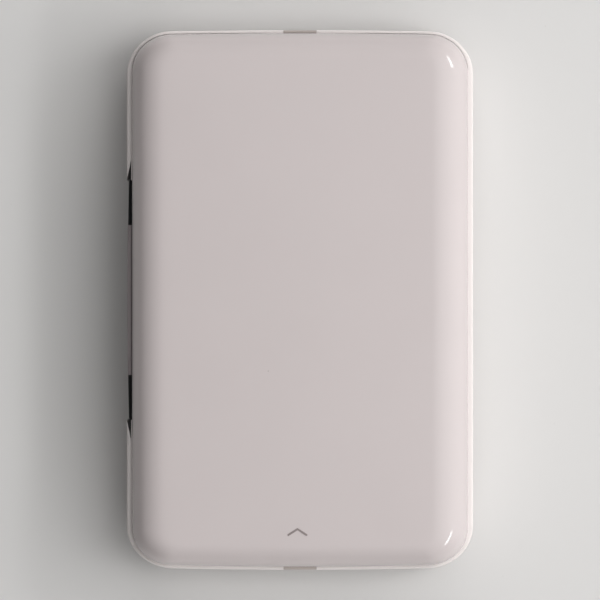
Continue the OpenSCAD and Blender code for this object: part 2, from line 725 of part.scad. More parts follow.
module circuit_board() {
    color(GREEN) difference() {
        translate([0, 0, board_z]) linear_extrude(board_t) {
            translate([board_x + board_w / 2, 0]) round_plan(board_w, 2 * board_y, 1);
            translate([board_x, 0]) square([board_tail_w, board_tail]);
        }
        for (y = [-board_y + 3, 0, board_y - 3]) translate([board_x + board_w - 3, y, 0])
            cylinder(r = 0.9, h = board_top + 1);
    }
}

module board_chips() {
    // each as [x on the board, y, width, length, height]
    color(BLACK) for (c = [[10.2, -8, 9, 9, 0.9], [10.2, 4, 6, 6, 0.8], [15.2, -20, 5, 4, 1.2], [6.2, -24, 4, 5, 1]])
        translate([board_x, 0, board_top])
            block([c[0] - c[2] / 2, c[1] - c[3] / 2, 0], [c[0] + c[2] / 2, c[1] + c[3] / 2, c[4]]);
}

module board_shields() {
    color(STEEL) {
        translate([board_x + 11.2, 15, board_top]) linear_extrude(1.8) round_plan(9, 8, 0.6);
        translate([board_x + 14.2, -27, board_top]) cylinder(r = 1.6, h = 2.4);
    }
}

module board_sockets() {
    color(IVORY) {
        // battery and motor
        for (y = [battery_plug_y, motor_at[0]]) difference() {
            block([board_x + board_w - 4.4, y - 2, board_top], [board_x + board_w - 0.6, y + 2, board_top + 2.2]);
            block([board_x + board_w - 3.4, y - 1.4, board_top + 0.5], [board_x + board_w, y + 1.4, board_top + 1.7]);
        }
        // print head ribbon
        difference() {
            block([ribbon_x - 1, ribbon_y - 0.4, board_top], [ribbon_x + 1, ribbon_y + ribbon_w + 0.4, board_top + 1.8]);
            block([ribbon_x - ribbon_t / 2 - 0.05, ribbon_y - 0.05, board_top + 0.6],
                  [ribbon_x + ribbon_t / 2 + 0.05, ribbon_y + ribbon_w + 0.05, board_top + 2]);
        }
        // light gate of the paper sensor
        difference() {
            block([sensor_x - 2.2, sensor_at[0] - 2.3, board_top], [sensor_x + 2.2, sensor_at[0] + 0.9, board_top + 2.2]);
            block([sensor_x - 1, sensor_at[0] - 3, board_top + 0.7], [sensor_x + 1, sensor_at[0] + 2, board_top + 3]);
        }
    }
}

module board_switches() {
    color(DARK) {
        block([switch_x, button_y - 2, board_top], [switch_x + 3.2, button_y + 2, board_top + 2.8]);
        block([switch_x, reset_y - 1.6, board_top], [switch_x + 3, reset_y + 1.6, board_top + 2.4]);
        block([switch_x, led_at[0] - 1, board_top], [switch_x + 1.2, led_at[1] + 1, board_top + 2.4]);
        translate([plunger_at[0] + 0.2, plunger_at[1], board_top]) linear_extrude(1.4) round_plan(3.6, 3.6, 0.5);
    }
}

module battery_pack() {
    z0 = floor_z + foam_t;
    color(ALUMINIUM) {
        translate([battery_x, battery_y - battery_l / 2, z0])
            soft_slab(battery_w, battery_l - 3, 1.5, battery_t, 1.2);
        block([battery_x - battery_w / 2 + 1, battery_y - 2, z0 + battery_t / 2],
              [battery_x + battery_w / 2 - 1, battery_y, z0 + battery_t / 2 + 0.6]);
    }
}

module battery_foam() {
    color(DARK) translate([battery_x, battery_y - battery_l / 2, floor_z]) linear_extrude(foam_t)
        round_plan(battery_w - 8, battery_l - 10, 1);
}

module battery_leads() {
    color("crimson") tube(battery_lead, lead_r, 8);
    color(BLACK) tube([for (p = battery_lead) p - [0, lead_gap, 0]], lead_r, 8);
}

module motor_leads() {
    color("crimson") tube(motor_lead, lead_r, 8);
    color(BLACK) tube([for (p = motor_lead) p - [0, lead_gap, 0]], lead_r, 8);
}

// --- Engine frame -------------------------------------------------------------------------------------

module right_plate_outline() {
    front = drive_at[0] + 2.4;
    difference() {
        union() {
            translate([motor_at[0] - motor_d / 2, floor_z + 1])
                square([pick_at[0] + 6 - motor_at[0] + motor_d / 2, tray_top - floor_z - 1]);
            translate([reduction_at[0] - 3, tray_top - 2]) square([6, reduction_at[1] + 2.4 - tray_top + 2]);
            translate([pick_at[0], deck_z - 5]) square([front - pick_at[0], sink_top + 0.3 - deck_z + 5]);
            translate([spring_y - bridge_l / 2, sink_top]) square([bridge_l, bridge_z - sink_top]);
        }
        for (at = [platen_at, pick_at]) translate(at) circle(r = shaft_r + 0.7 + seat_fit);
        translate(drive_at) circle(r = journal_r + 0.7 + seat_fit);
        for (at = [middle_at, front_at, reduction_at]) translate(at) circle(r = stud_foot_r + seat_fit);
        translate(motor_at) circle(r = motor_nose_r + 0.1);
        plate_common_holes();
    }
}

module left_plate_outline() {
    front = drive_at[0] + 2.4;
    difference() {
        union() {
            translate([pick_at[0] - 4, deck_z - 4]) square([front - pick_at[0] + 4, sink_top + 0.3 - deck_z + 4]);
            translate([spring_y - bridge_l / 2, sink_top]) square([bridge_l, bridge_z - sink_top]);
        }
        for (at = [platen_at, pick_at]) translate(at) circle(r = shaft_r + 0.7 + seat_fit);
        translate(drive_at) circle(r = journal_r + 0.7 + seat_fit);
        // window for the plunger's eyelet
        translate([plunger_at[1] - 2 - lay_fit, deck_z - lay_fit]) square([4 + 2 * lay_fit, deck_t + 2 * lay_fit]);
        plate_common_holes();
    }
}

// Slot for the pinch roller, hole for the print head's rod, and the fixing screws
module plate_common_holes() {
    translate([pinch_at[0] - pinch_shaft_r - run_fit, pinch_at[1] - pinch_shaft_r - run_fit])
        square([2 * (pinch_shaft_r + run_fit), 2 * pinch_shaft_r + 0.6]);
    translate(pivot_at) circle(r = pivot_r + seat_fit);
    for (p = plate_screw_at) translate(p) circle(r = plate_screw_r + 0.1);
}

module right_plate() {
    color(STEEL) across(cheek_x, plate_t) right_plate_outline();
}

module left_plate() {
    color(STEEL) across(-plate_out, plate_t) left_plate_outline();
}

// Screws that hold the side plates to the tray
module plate_screws() {
    color(STEEL) both_sides() for (p = plate_screw_at) {
        bar(p, plate_out, plate_out + 0.45, 1.3);
        bar(p, tray_x + 0.1, plate_out + 0.2, plate_screw_r);
    }
}

// Steel strip across the print head that its springs push against
module spring_bridge() {
    color(STEEL) {
        block([-cheek_x, spring_y - bridge_l / 2, bridge_z], [cheek_x, spring_y + bridge_l / 2, bridge_z + bridge_t]);
        both_sides() block([cheek_x - bridge_t, spring_y - bridge_l / 2, tray_top + 0.2],
                           [cheek_x, spring_y + bridge_l / 2, bridge_z + over]);
    }
}

module gear_studs() {
    color(STEEL) {
        for (at = [middle_at, front_at]) gear_stud(at, gear_x + gear_t);
        gear_stud(reduction_at, outer_gear_x + gear_t);
    }
}

// A stud riveted into the right plate, with a collar behind its gear and a clip in front of it
module gear_stud(at, end_x) {
    bar(at, cheek_x + 0.1, plate_out, stud_foot_r);
    bar(at, plate_out, gear_x - 0.1, 1.6);
    bar(at, plate_out, end_x + 0.7, stud_r);
    bar(at, end_x + 0.1, end_x + 0.5, 1.7);
}

module roller_bushes() {
    color(BRASS) for (s = [0, 1]) mirror([s, 0, 0]) {
        for (at = [platen_at, pick_at]) bush(at, shaft_r + 0.7, shaft_r + run_fit);
        bush(drive_at, journal_r + 0.7, journal_r + run_fit);
    }
}

module bush(at, out_r, bore_r) {
    difference() {
        union() {
            bar(at, cheek_x, plate_out, out_r);
            bar(at, plate_out, plate_out + flange_t, out_r + 0.5);
        }
        bar(at, cheek_x - 1, plate_out + 2, bore_r);
    }
}

// --- Motor and gears ----------------------------------------------------------------------------------

module motor_section(r, h) {
    intersection() {
        circle(r = r);
        square([3 * r, h], center = true);
    }
}

module motor_can() {
    color(STEEL) difference() {
        union() {
            across(cheek_x - motor_l, motor_l) translate(motor_at) motor_section(motor_d / 2, motor_h);
            bar(motor_at, cheek_x - over, plate_out, motor_nose_r);
        }
        bar(motor_at, cheek_x - motor_l + 1, plate_out + 1, motor_shaft_r + run_fit);
    }
}

module motor_cap() {
    color(DARK) across(cheek_x - motor_l - 0.9, 0.88) translate(motor_at) motor_section(motor_d / 2 - 0.6, motor_h - 1);
}

module motor_shaft() {
    color(STEEL) bar(motor_at, cheek_x - motor_l + 1.3, outer_gear_x + gear_t + 0.4, motor_shaft_r);
}

module motor_pinion() {
    color(BRASS) spur_gear(pinion_teeth, motor_at, outer_gear_x, motor_turn, motor_shaft_r + seat_fit / 2, 1.6, 0);
}

module middle_idler() {
    color(IVORY) spur_gear(idler_teeth, middle_at, gear_x, middle_turn, stud_r + run_fit, 2.4, 0);
}

module front_idler() {
    color(IVORY) spur_gear(pinion_teeth, front_at, gear_x, front_turn, stud_r + run_fit, 1.8, 0);
}

module reduction_gear() {
    color(IVORY) {
        spur_gear(pinion_teeth, reduction_at, gear_x, reduction_turn, stud_r + run_fit, 2, layer_gap);
        spur_gear(wheel_teeth, reduction_at, outer_gear_x, reduction_turn, stud_r + run_fit, 2, 0);
    }
}

// --- Rollers ------------------------------------------------------------------------------------------

// A shaft from clip to clip, with a clip ring outside each bush on the left
module roller_shaft(at, r, end_x) {
    bar(at, -plate_out - flange_t - 0.7, end_x, r);
    bar(at, -plate_out - flange_t - 0.5, -plate_out - flange_t - 0.1, r + 0.7);
}

module rubber_tyre(at, x0, x1, r, bore_r) {
    difference() {
        bar(at, x0, x1, r);
        bar(at, x0 - 1, x1 + 1, bore_r);
    }
}

module platen_rubber() {
    color(RUBBER) rubber_tyre(platen_at, -roller_half, roller_half, platen_d / 2, shaft_r + seat_fit / 2);
}

module platen_shaft() {
    color(STEEL) roller_shaft(platen_at, shaft_r, gear_x + gear_t + 0.3);
}

module platen_gear() {
    color(IVORY) spur_gear(platen_teeth, platen_at, gear_x, platen_turn, shaft_r + seat_fit / 2, 2.6, 0);
}

module drive_roller() {
    color(STEEL) {
        roller_shaft(drive_at, journal_r, gear_x + gear_t + 0.3);
        bar(drive_at, -roller_half, roller_half, drive_d / 2);
    }
}

module drive_gear() {
    color(IVORY) spur_gear(pinion_teeth, drive_at, gear_x, drive_turn, journal_r + seat_fit / 2, 2, 0);
}

module pinch_rubber() {
    color(RUBBER) for (s = [-1, 1])
        rubber_tyre(pinch_at, s * 13 - 9, s * 13 + 9, pinch_d / 2, pinch_shaft_r + seat_fit / 2);
}

module pinch_shaft() {
    color(STEEL) bar(pinch_at, -plate_out - 0.4, plate_out + 0.4, pinch_shaft_r);
}

module pick_tyres() {
    color(RUBBER) for (s = [-1, 1])
        rubber_tyre(pick_at, s * pick_x - tyre_w / 2, s * pick_x + tyre_w / 2, pick_d / 2, shaft_r + seat_fit / 2);
}

module pick_shaft() {
    color(STEEL) roller_shaft(pick_at, shaft_r, gear_x + gear_t + 0.3);
}

module pick_gear() {
    color(IVORY) spur_gear(pick_teeth, pick_at, gear_x, pick_turn, shaft_r + seat_fit / 2, 2.8, 0);
}

// --- Print head ---------------------------------------------------------------------------------------

module head_sink() {
    half = tray_x - 0.3;
    color(ALUMINIUM) difference() {
        union() {
            across(-half, 2 * half) difference() {
                translate([head_back, sink_z]) square([head_l, sink_t]);
                // grooves that make the cooling fins
                for (y = [head_back + 1.4:2:head_back + head_l - 4.6]) translate([y, sink_z + 1.4]) square([1, sink_t]);
            }
            both_sides() across(half - 4, 4) {
                translate(pivot_at) circle(r = pivot_r + 1.2);
                translate([pivot_at[0], pivot_at[1] - 1.2]) square([head_back - pivot_at[0] + 0.5, 2.4]);
            }
        }
        bar(pivot_at, -case_w / 2, case_w / 2, pivot_r + run_fit);
    }
}

module head_ceramic() {
    color([0.90, 0.88, 0.84]) block([-roller_half, head_y - ceramic_l / 2, head_z], [roller_half, head_y + ceramic_l / 2, sink_z]);
}

module head_socket() {
    color(IVORY) block([-tray_x + 1, ribbon_y + 1, sink_top], [-tray_x + 4.6, ribbon_y + ribbon_w, sink_top + 0.8]);
}

// The flat ribbon: up beside the left plate and over it to the socket on the head
module head_ribbon() {
    color(IVORY) {
        block([ribbon_x - ribbon_t / 2, ribbon_y, board_top + 0.8], [ribbon_x + ribbon_t / 2, ribbon_y + ribbon_w, ribbon_top + ribbon_t]);
        block([ribbon_x - ribbon_t / 2, ribbon_y, ribbon_top], [-tray_x + 3, ribbon_y + ribbon_w, ribbon_top + ribbon_t]);
    }
}

module head_pivot() {
    color(STEEL) bar(pivot_at, -plate_out - 0.3, plate_out + 0.3, pivot_r);
}

module head_springs() {
    color(STEEL) for (s = [-1, 1])
        coil_spring(s * head_spring_x, spring_y, sink_top, bridge_z - sink_top, 1.5, 0.35, 4);
}

// --- Paper sensor -------------------------------------------------------------------------------------

// A lever whose upper arm the paper pushes forward, and whose lower flag then leaves the light gate
module sensor_lever() {
    arm_h = paper_z + 0.5 - sensor_at[1];
    flag_h = sensor_at[1] - board_top - 1;
    color(DARK) difference() {
        across(sensor_x - 0.7, 1.4) {
            translate(sensor_at) circle(r = 1.2);
            translate([sensor_at[0] - 0.6, sensor_at[1]]) square([1.2, arm_h]);
            translate([sensor_at[0] - 0.8, sensor_at[1] - flag_h]) square([1.4, flag_h]);
        }
        bar(sensor_at, sensor_x - 2, sensor_x + 2, sensor_pin_r + run_fit);
    }
}

module sensor_pin() {
    color(STEEL) bar(sensor_at, sensor_x - 2.5, sensor_x + 2.5, sensor_pin_r);
}

// --- Lid ----------------------------------------------------------------------------------------------

module hinge_pins() {
    color(STEEL) both_sides() {
        bar([hinge_y, hinge_z], tray_x - 0.1, knuckle_x + knuckle_w + 0.1, hinge_pin_r);
        bar([hinge_y, hinge_z], tray_x - 0.5, tray_x - 0.1, hinge_pin_r + 0.5);
    }
}

module lid_shell() {
    inner_lid_w = lid_w - 2 * lid_t;
    inner_lid_l = lid_l - 2 * lid_t;
    tongue_x = wall_x - 0.2;
    tongue_y = inner_l / 2 - 0.2;
    color(WHITE) difference() {
        union() {
            translate([0, 0, lid_z]) difference() {
                soft_slab(lid_w, lid_l, lid_r, case_h - lid_z, lid_round);
                translate([0, 0, -1])
                    soft_slab(inner_lid_w, inner_lid_l, lid_r - lid_t, case_h - lid_z - lid_t + 1, lid_round - lid_t);
            }
            // locating ribs along the sides and the back
            both_sides() block([tongue_x - 1.3, -front_y + 14, lid_z - tongue_h], [tongue_x, front_y - 14, lid_z + 1.5]);
            block([-10, -tongue_y, lid_z - tongue_h], [10, -tongue_y + 1.2, lid_z + 1.5]);
            // hooks at the back
            both_sides() {
                block([hook_at - hook_w / 2, -tongue_y + 0.85, lid_z - 4.5], [hook_at + hook_w / 2, -tongue_y + 1.9, lid_z + 3.6]);
                block([hook_at - hook_w / 2, -tongue_y - 0.05, lid_z - 4.5], [hook_at + hook_w / 2, -tongue_y + 0.9, lid_z - 3.3]);
            }
            // knuckles of the hinge
            both_sides() {
                bar([hinge_y, hinge_z], knuckle_x, knuckle_x + knuckle_w, knuckle_r);
                block([knuckle_x, hinge_y - knuckle_r, hinge_z], [knuckle_x + knuckle_w, hinge_y + 0.5, ceiling_z + 0.3]);
            }
            // lugs for the pressure plate, and the rib that stops it
            both_sides() {
                bar(press_pivot, press_w / 2 + 0.4, press_w / 2 + 2, press_pin_r + 1);
                block([press_w / 2 + 0.4, press_pivot[0] - press_pin_r - 1, press_pivot[1]],
                      [press_w / 2 + 2, press_pivot[0] + press_pin_r + 1, ceiling_z + 0.3]);
            }
            block([-press_w / 2 + 4, press_pivot[0] - 3.4, stop_z], [press_w / 2 - 4, press_pivot[0] - 2.4, ceiling_z + 0.3]);
            // stiffening ribs under the ceiling
            for (x = [-31, 31]) block([x - 0.5, -front_y + 16, ceiling_z - 1.2], [x + 0.5, front_y - 24, ceiling_z + 0.3]);
            for (y = [-30, 0, 32]) block([-32, y - 0.5, ceiling_z - 0.5], [32, y + 0.5, ceiling_z + 0.3]);
            // post that keeps the lid plunger down
            translate([plunger_at[0], plunger_at[1], lid_z + 1.4]) cylinder(r = 1.6, h = ceiling_z - lid_z - 1.1);
            // spring seats
            both_sides() translate([press_spring[0], press_spring[1], ceiling_z - 1.5]) cylinder(r = 1.1, h = 1.8);
        }
        both_sides() {
            bar([hinge_y, hinge_z], knuckle_x - 1, knuckle_x + knuckle_w + 2, hinge_pin_r + run_fit);
            bar(press_pivot, press_w / 2 + 0.3, press_w / 2 + 3, press_pin_r + run_fit);
        }
    }
}

// The plate hangs on its two pins at the back and droops towards the pick roller
module pressure_plate() {
    color(DARK) translate([0, press_pivot[0], press_pivot[1]]) rotate([-press_drop, 0, 0]) {
        difference() {
            translate([0, press_l / 2 - 2, -press_t / 2]) linear_extrude(press_t) difference() {
                round_plan(press_w, press_l + 2, 2);
                // windows between the ribs
                for (x = [-15, 0, 15], y = [-18, 6]) translate([x, y]) round_plan(8, 16, 2);
            }
            // room for the lid's lugs
            both_sides() block([press_w / 2 - 1, -2.6, -2], [press_w / 2 + 1, 2.6, 2]);
        }
        both_sides() {
            translate([press_w / 2 - 3, 0, 0]) rotate([0, 90, 0]) cylinder(r = press_pin_r, h = 5);
            block([press_w / 2 - 7, 3, press_t / 2 - over], [press_w / 2 - 6, press_l - 8, press_t / 2 + 0.6]);
        }
        for (y = [press_l - 12, 20]) block([-press_w / 2 + 6, y, press_t / 2 - over], [press_w / 2 - 6, y + 1, press_t / 2 + 0.6]);
    }
}

module plate_springs() {
    color(STEEL) for (s = [-1, 1])
        coil_spring(s * press_spring[0], press_spring[1], press_spring_z, ceiling_z - press_spring_z, 1.9, 0.4, 5);
}

// Rod that rides up when the lid opens and lets its switch on the board go
module lid_plunger() {
    color(IVORY) translate([plunger_at[0], plunger_at[1], 0]) {
        translate([0, 0, board_top + 1.45]) cylinder(r = plunger_r, h = lid_z + 1.3 - board_top - 1.45);
        translate([0, 0, deck_z - 2.3]) cylinder(r = plunger_r + 0.6, h = 1);
    }
}

base_shell();
side_panel();
power_button();
led_windows();
usb_socket();
usb_tongue();
end_tabs();
exit_bezel();
feet();
case_screws();
paper_tray();
tray_pad();
circuit_board();
board_chips();
board_shields();
board_sockets();
board_switches();
battery_pack();
battery_foam();
battery_leads();
right_plate();
left_plate();
plate_screws();
spring_bridge();
gear_studs();
roller_bushes();
motor_can();
motor_cap();
motor_leads();
motor_shaft();
motor_pinion();
platen_rubber();
platen_shaft();
platen_gear();
drive_roller();
drive_gear();
pinch_rubber();
pinch_shaft();
pick_tyres();
pick_shaft();
pick_gear();
middle_idler();
front_idler();
reduction_gear();
head_sink();
head_ceramic();
head_socket();
head_ribbon();
head_pivot();
head_springs();
sensor_lever();
sensor_pin();
hinge_pins();
lid_shell();
pressure_plate();
plate_springs();
lid_plunger();
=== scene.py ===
import math

import bmesh
import bpy
from mathutils import Matrix, Vector


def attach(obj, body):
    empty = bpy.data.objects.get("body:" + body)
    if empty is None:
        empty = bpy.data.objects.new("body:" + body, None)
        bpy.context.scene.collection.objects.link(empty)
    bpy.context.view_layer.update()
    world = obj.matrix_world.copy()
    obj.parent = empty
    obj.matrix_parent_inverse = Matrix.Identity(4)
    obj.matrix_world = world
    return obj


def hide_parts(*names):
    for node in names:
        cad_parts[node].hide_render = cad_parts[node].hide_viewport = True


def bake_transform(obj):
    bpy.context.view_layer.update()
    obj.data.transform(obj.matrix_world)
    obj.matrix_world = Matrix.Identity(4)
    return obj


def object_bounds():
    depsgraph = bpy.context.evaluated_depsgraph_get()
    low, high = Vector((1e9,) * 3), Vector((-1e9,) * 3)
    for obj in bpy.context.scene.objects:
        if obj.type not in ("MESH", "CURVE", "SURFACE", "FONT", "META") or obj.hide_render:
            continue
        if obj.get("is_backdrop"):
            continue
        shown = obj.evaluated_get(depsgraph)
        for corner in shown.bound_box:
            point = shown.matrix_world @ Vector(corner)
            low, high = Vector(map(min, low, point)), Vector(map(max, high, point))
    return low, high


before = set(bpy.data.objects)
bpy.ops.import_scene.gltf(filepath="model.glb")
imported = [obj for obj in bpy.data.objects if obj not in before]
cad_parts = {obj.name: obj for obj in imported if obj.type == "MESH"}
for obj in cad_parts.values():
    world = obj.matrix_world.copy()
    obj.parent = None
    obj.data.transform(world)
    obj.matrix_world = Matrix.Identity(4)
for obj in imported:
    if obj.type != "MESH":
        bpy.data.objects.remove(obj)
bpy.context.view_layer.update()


# --- Case shell ---------------------------------------------------------------------------------------
# The moulded lower half, white gloss ABS with a 1.7 mm wall, in one shot from a two-part tool.
# Its two ends bow out a little, its rim is rounded, and everything else is fixed in it.
# Sizes here are in millimetres, and each piece is brought to metres when it is dressed.
CASE_X = 37.5
CASE_Y = 58.5
CASE_CORNER = 9.5
RIM_Z = 15.4
FLOOR_Z = 0.6
BELLY = 5.0
RIM_ROUND = 0.4
FRONT_BOW = 0.45
BACK_BOW = 0.65
BOW_START = 46.5
BOW_END = 57.5
CREASE = 32


def bowed(x, y):
    """Y of a point on the plan after the ends' bow, which leaves the middle and draws the corners in."""
    bow = FRONT_BOW if y > 0 else BACK_BOW
    near_end = min(max((abs(y) - BOW_START) / (BOW_END - BOW_START), 0), 1)
    return y - math.copysign(bow * (x / CASE_X) ** 2 * near_end ** 2, y)


def quarter_turn(steps):
    """Even steps from 0 to 90 degrees."""
    return [math.radians(90 * step / steps) for step in range(steps + 1)]


def plan_ring(half_x, half_y, corner, z, steps=14):
    """Points round a rectangle with round corners at one height, along the bowed ends."""
    arcs = []
    for quarter, (sx, sy) in enumerate([(1, 1), (-1, 1), (-1, -1), (1, -1)]):
        middle = Vector((sx * (half_x - corner), sy * (half_y - corner)))
        arc = []
        for step in range(steps + 1):
            turn = math.radians(90 * (quarter + step / steps))
            arc.append(middle + corner * Vector((math.cos(turn), math.sin(turn))))
        arcs.append(arc)
    ring = []
    for arc, following in zip(arcs, arcs[1:] + arcs[:1]):
        ring.extend(arc)
        ring.extend([arc[-1].lerp(following[0], step / steps) for step in range(1, steps)])
    return [Vector((p.x, bowed(p.x, p.y), z)) for p in ring]


def skin(rings, open_middle=False):
    """A closed solid over a row of rings, with a cap at both ends or its last ring joined to its first."""
    form = bmesh.new()
    rows = [[form.verts.new(p) for p in ring] for ring in rings]
    for low, high in zip(rows, rows[1:] + rows[:1] if open_middle else rows[1:]):
        for i in range(len(low)):
            j = (i + 1) % len(low)
            form.faces.new((low[i], low[j], high[j], high[i]))
    if not open_middle:
        form.faces.new(rows[0])
        form.faces.new(rows[-1])
    bmesh.ops.recalc_face_normals(form, faces=form.faces)
    return form


def solid(name, form):
    """Makes an object of a form."""
    mesh = bpy.data.meshes.new(name)
    form.to_mesh(mesh)
    form.free()
    if "custom_normal" in mesh.attributes:
        mesh.attributes.remove(mesh.attributes["custom_normal"])
    piece = bpy.data.objects.new(name, mesh)
    bpy.context.scene.collection.objects.link(piece)
    return piece


def carve(piece, operation, *tools):
    """Cuts tools from a piece (DIFFERENCE), joins them to it (UNION) or keeps what they share (INTERSECT)."""
    for tool in tools:
        step = piece.modifiers.new("carve", "BOOLEAN")
        step.operation = operation
        step.solver = "EXACT"
        step.object = tool
    view = bpy.context.evaluated_depsgraph_get()
    mesh = bpy.data.meshes.new_from_object(piece.evaluated_get(view))
    piece.modifiers.clear()
    piece.data = mesh
    for tool in tools:
        bpy.data.objects.remove(tool)
    return piece


def box(low, high, edge=0.0, steps=2):
    """A block between two corners, its edges rounded."""
    form = bmesh.new()
    bmesh.ops.create_cube(form, size=1)
    size = Vector(high) - Vector(low)
    bmesh.ops.scale(form, vec=size, verts=form.verts)
    bmesh.ops.translate(form, vec=(Vector(high) + Vector(low)) / 2, verts=form.verts)
    if edge:
        bmesh.ops.bevel(form, geom=form.edges[:], offset=edge, segments=steps, profile=0.5, affect="EDGES")
    return form


def prism(outline, low, high, axis="z"):
    """A drawing on the plan (or, along x, of Y and Z) given a height."""
    form = bmesh.new()
    rows = []
    for level in (low, high):
        if axis == "z":
            rows.append([form.verts.new((a, b, level)) for a, b in outline])
        else:
            rows.append([form.verts.new((level, a, b)) for a, b in outline])
    for i in range(len(outline)):
        j = (i + 1) % len(outline)
        form.faces.new((rows[0][i], rows[0][j], rows[1][j], rows[1][i]))
    form.faces.new(rows[0])
    form.faces.new(rows[1])
    bmesh.ops.recalc_face_normals(form, faces=form.faces)
    return form


def turned(profile, centre, axis="x", steps=48):
    """A turned form, from (radius, place along the axis). It starts on the axis, or is a loop off it."""
    form = bmesh.new()
    loop = profile[0][0] > 0
    rows = []
    for radius, along in profile:
        row = []
        for k in range(1 if radius == 0 else steps):
            turn = math.tau * k / steps
            side = Vector((radius * math.cos(turn), radius * math.sin(turn)))
            if axis == "x":
                spot = Vector((along, side.x, side.y))
            else:
                spot = Vector((side.x, side.y, along))
            row.append(form.verts.new(Vector(centre) + spot))
        rows.append(row)
    pairs = list(zip(rows, rows[1:]))
    if loop:
        pairs.append((rows[-1], rows[0]))
    for low, high in pairs:
        for k in range(steps):
            j = (k + 1) % steps
            corners = [low[k % len(low)], low[j % len(low)], high[j % len(high)], high[k % len(high)]]
            form.faces.new(list(dict.fromkeys(corners)))
    bmesh.ops.recalc_face_normals(form, faces=form.faces)
    return form


def rod(radius, low, high, centre, axis, steps):
    """A plain round bar between two places along its axis."""
    return turned([(0, low), (radius, low), (radius, high), (0, high)], centre, axis, steps)


def merged(*forms):
    """Several forms as one."""
    whole = bmesh.new()
    for form in forms:
        part = bpy.data.meshes.new("part")
        form.to_mesh(part)
        form.free()
        whole.from_mesh(part)
        bpy.data.meshes.remove(part)
    return whole


def cad_solid(node):
    """The solid of a CAD node in millimetres, with its corners joined."""
    form = bmesh.new()
    form.from_mesh(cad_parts[node].data)
    bmesh.ops.remove_doubles(form, verts=form.verts, dist=1e-7)
    bmesh.ops.scale(form, vec=(1000, 1000, 1000), verts=form.verts)
    return solid(node + "_inside", form)


def dress(piece, material, body, slot, *nodes):
    """Brings a piece to metres, shades it, gives it its material, joins it to its body and hides the CAD
    nodes that it stands for. Its slot is not used.

    A piece that lies between two bodies is given both, and the two points where it holds on to them; it stays
    where it is, joined to neither, and the two points are not used.
    """
    piece.data.transform(Matrix.Scale(0.001, 4))
    for face in piece.data.polygons:
        face.use_smooth = True
    piece.data.set_sharp_from_angle(angle=math.radians(CREASE))
    even = piece.modifiers.new("even_normals", "WEIGHTED_NORMAL")
    even.keep_sharp = True
    piece.data.materials.clear()
    piece.data.materials.append(material)
    if isinstance(body, str):
        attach(piece, body)
    else:
        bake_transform(piece)
    if nodes:
        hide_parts(*nodes)
    return piece


def new_group(name, inputs, outputs):
    """An empty shader group with named sockets: its tree, the sockets it starts from and its end node."""
    tree = bpy.data.node_groups.new(name, "ShaderNodeTree")
    for title, kind, value in inputs:
        socket = tree.interface.new_socket(title, in_out="INPUT", socket_type=kind)
        socket.default_value = value
    for title, kind in outputs:
        tree.interface.new_socket(title, in_out="OUTPUT", socket_type=kind)
    return tree, tree.nodes.new("NodeGroupInput").outputs, tree.nodes.new("NodeGroupOutput")


def feed(node, **values):
    """Sets a node's inputs, by name or number: each to a value, or to the socket that feeds it."""
    for key, value in values.items():
        target = node.inputs[int(key) if key.isdigit() else key.replace("_", " ")]
        if isinstance(value, bpy.types.NodeSocket):
            node.id_data.links.new(value, target)
        else:
            target.default_value = value
    return node


def add(tree, kind, **values):
    """A node with its settings; what goes to a numbered or named input starts with in_."""
    node = tree.nodes.new(kind)
    inputs = {}
    for key, value in values.items():
        if key.startswith("in_"):
            inputs[key[3:]] = value
        else:
            setattr(node, key, value)
    return feed(node, **inputs)


def calculate(tree, operation, *values, clamp=False):
    """The result of a sum on numbers or sockets."""
    node = add(tree, "ShaderNodeMath", operation=operation, use_clamp=clamp)
    return feed(node, **{str(place): value for place, value in enumerate(values)}).outputs[0]


def spread(tree, source, low, high):
    """Maps a 0 to 1 value onto low to high."""
    return add(tree, "ShaderNodeMapRange", in_0=source, in_3=low, in_4=high).outputs[0]


def tinted(tree, colour, value):
    """A colour made lighter or darker by a value."""
    return add(tree, "ShaderNodeHueSaturation", in_Color=colour, in_Value=value).outputs[0]


def where(tree):
    """A texture's place: the point on the piece that it colours."""
    return add(tree, "ShaderNodeTexCoord").outputs["Object"]


# Moulded plastic: faint cloudiness in the colour, an uneven gloss, and the grain of the tool
FLOAT = "NodeSocketFloat"
COLOUR = "NodeSocketColor"
moulded, ins, outs = new_group(
    "moulded_plastic",
    [("Colour", COLOUR, (0.8, 0.8, 0.8, 1)), ("Cloud", FLOAT, 0.03), ("Roughness", FLOAT, 0.3),
     ("Unevenness", FLOAT, 0.05), ("Grain Size", FLOAT, 0.4)],
    [("Colour", COLOUR), ("Roughness", FLOAT), ("Height", FLOAT)],
)
place = where(moulded)
cloud = add(moulded, "ShaderNodeTexNoise", in_Vector=place, in_Scale=55, in_Detail=3, in_Roughness=0.5)
gloss = add(moulded, "ShaderNodeTexNoise", in_Vector=place, in_Scale=210, in_Detail=4, in_Roughness=0.6)
pitch = calculate(moulded, "DIVIDE", 1000, ins["Grain Size"])
grain = add(moulded, "ShaderNodeTexNoise", in_Vector=place, in_Scale=pitch, in_Detail=2, in_Roughness=0.6)
shade = calculate(moulded, "MULTIPLY_ADD", spread(moulded, cloud.outputs[0], -1.6, 1.6), ins["Cloud"], 1)
play = spread(moulded, gloss.outputs[0], -1.5, 1.5)
uneven = calculate(moulded, "MULTIPLY_ADD", play, ins["Unevenness"], ins["Roughness"], clamp=True)
feed(outs, Colour=tinted(moulded, ins["Colour"], shade), Roughness=uneven, Height=grain.outputs[0])

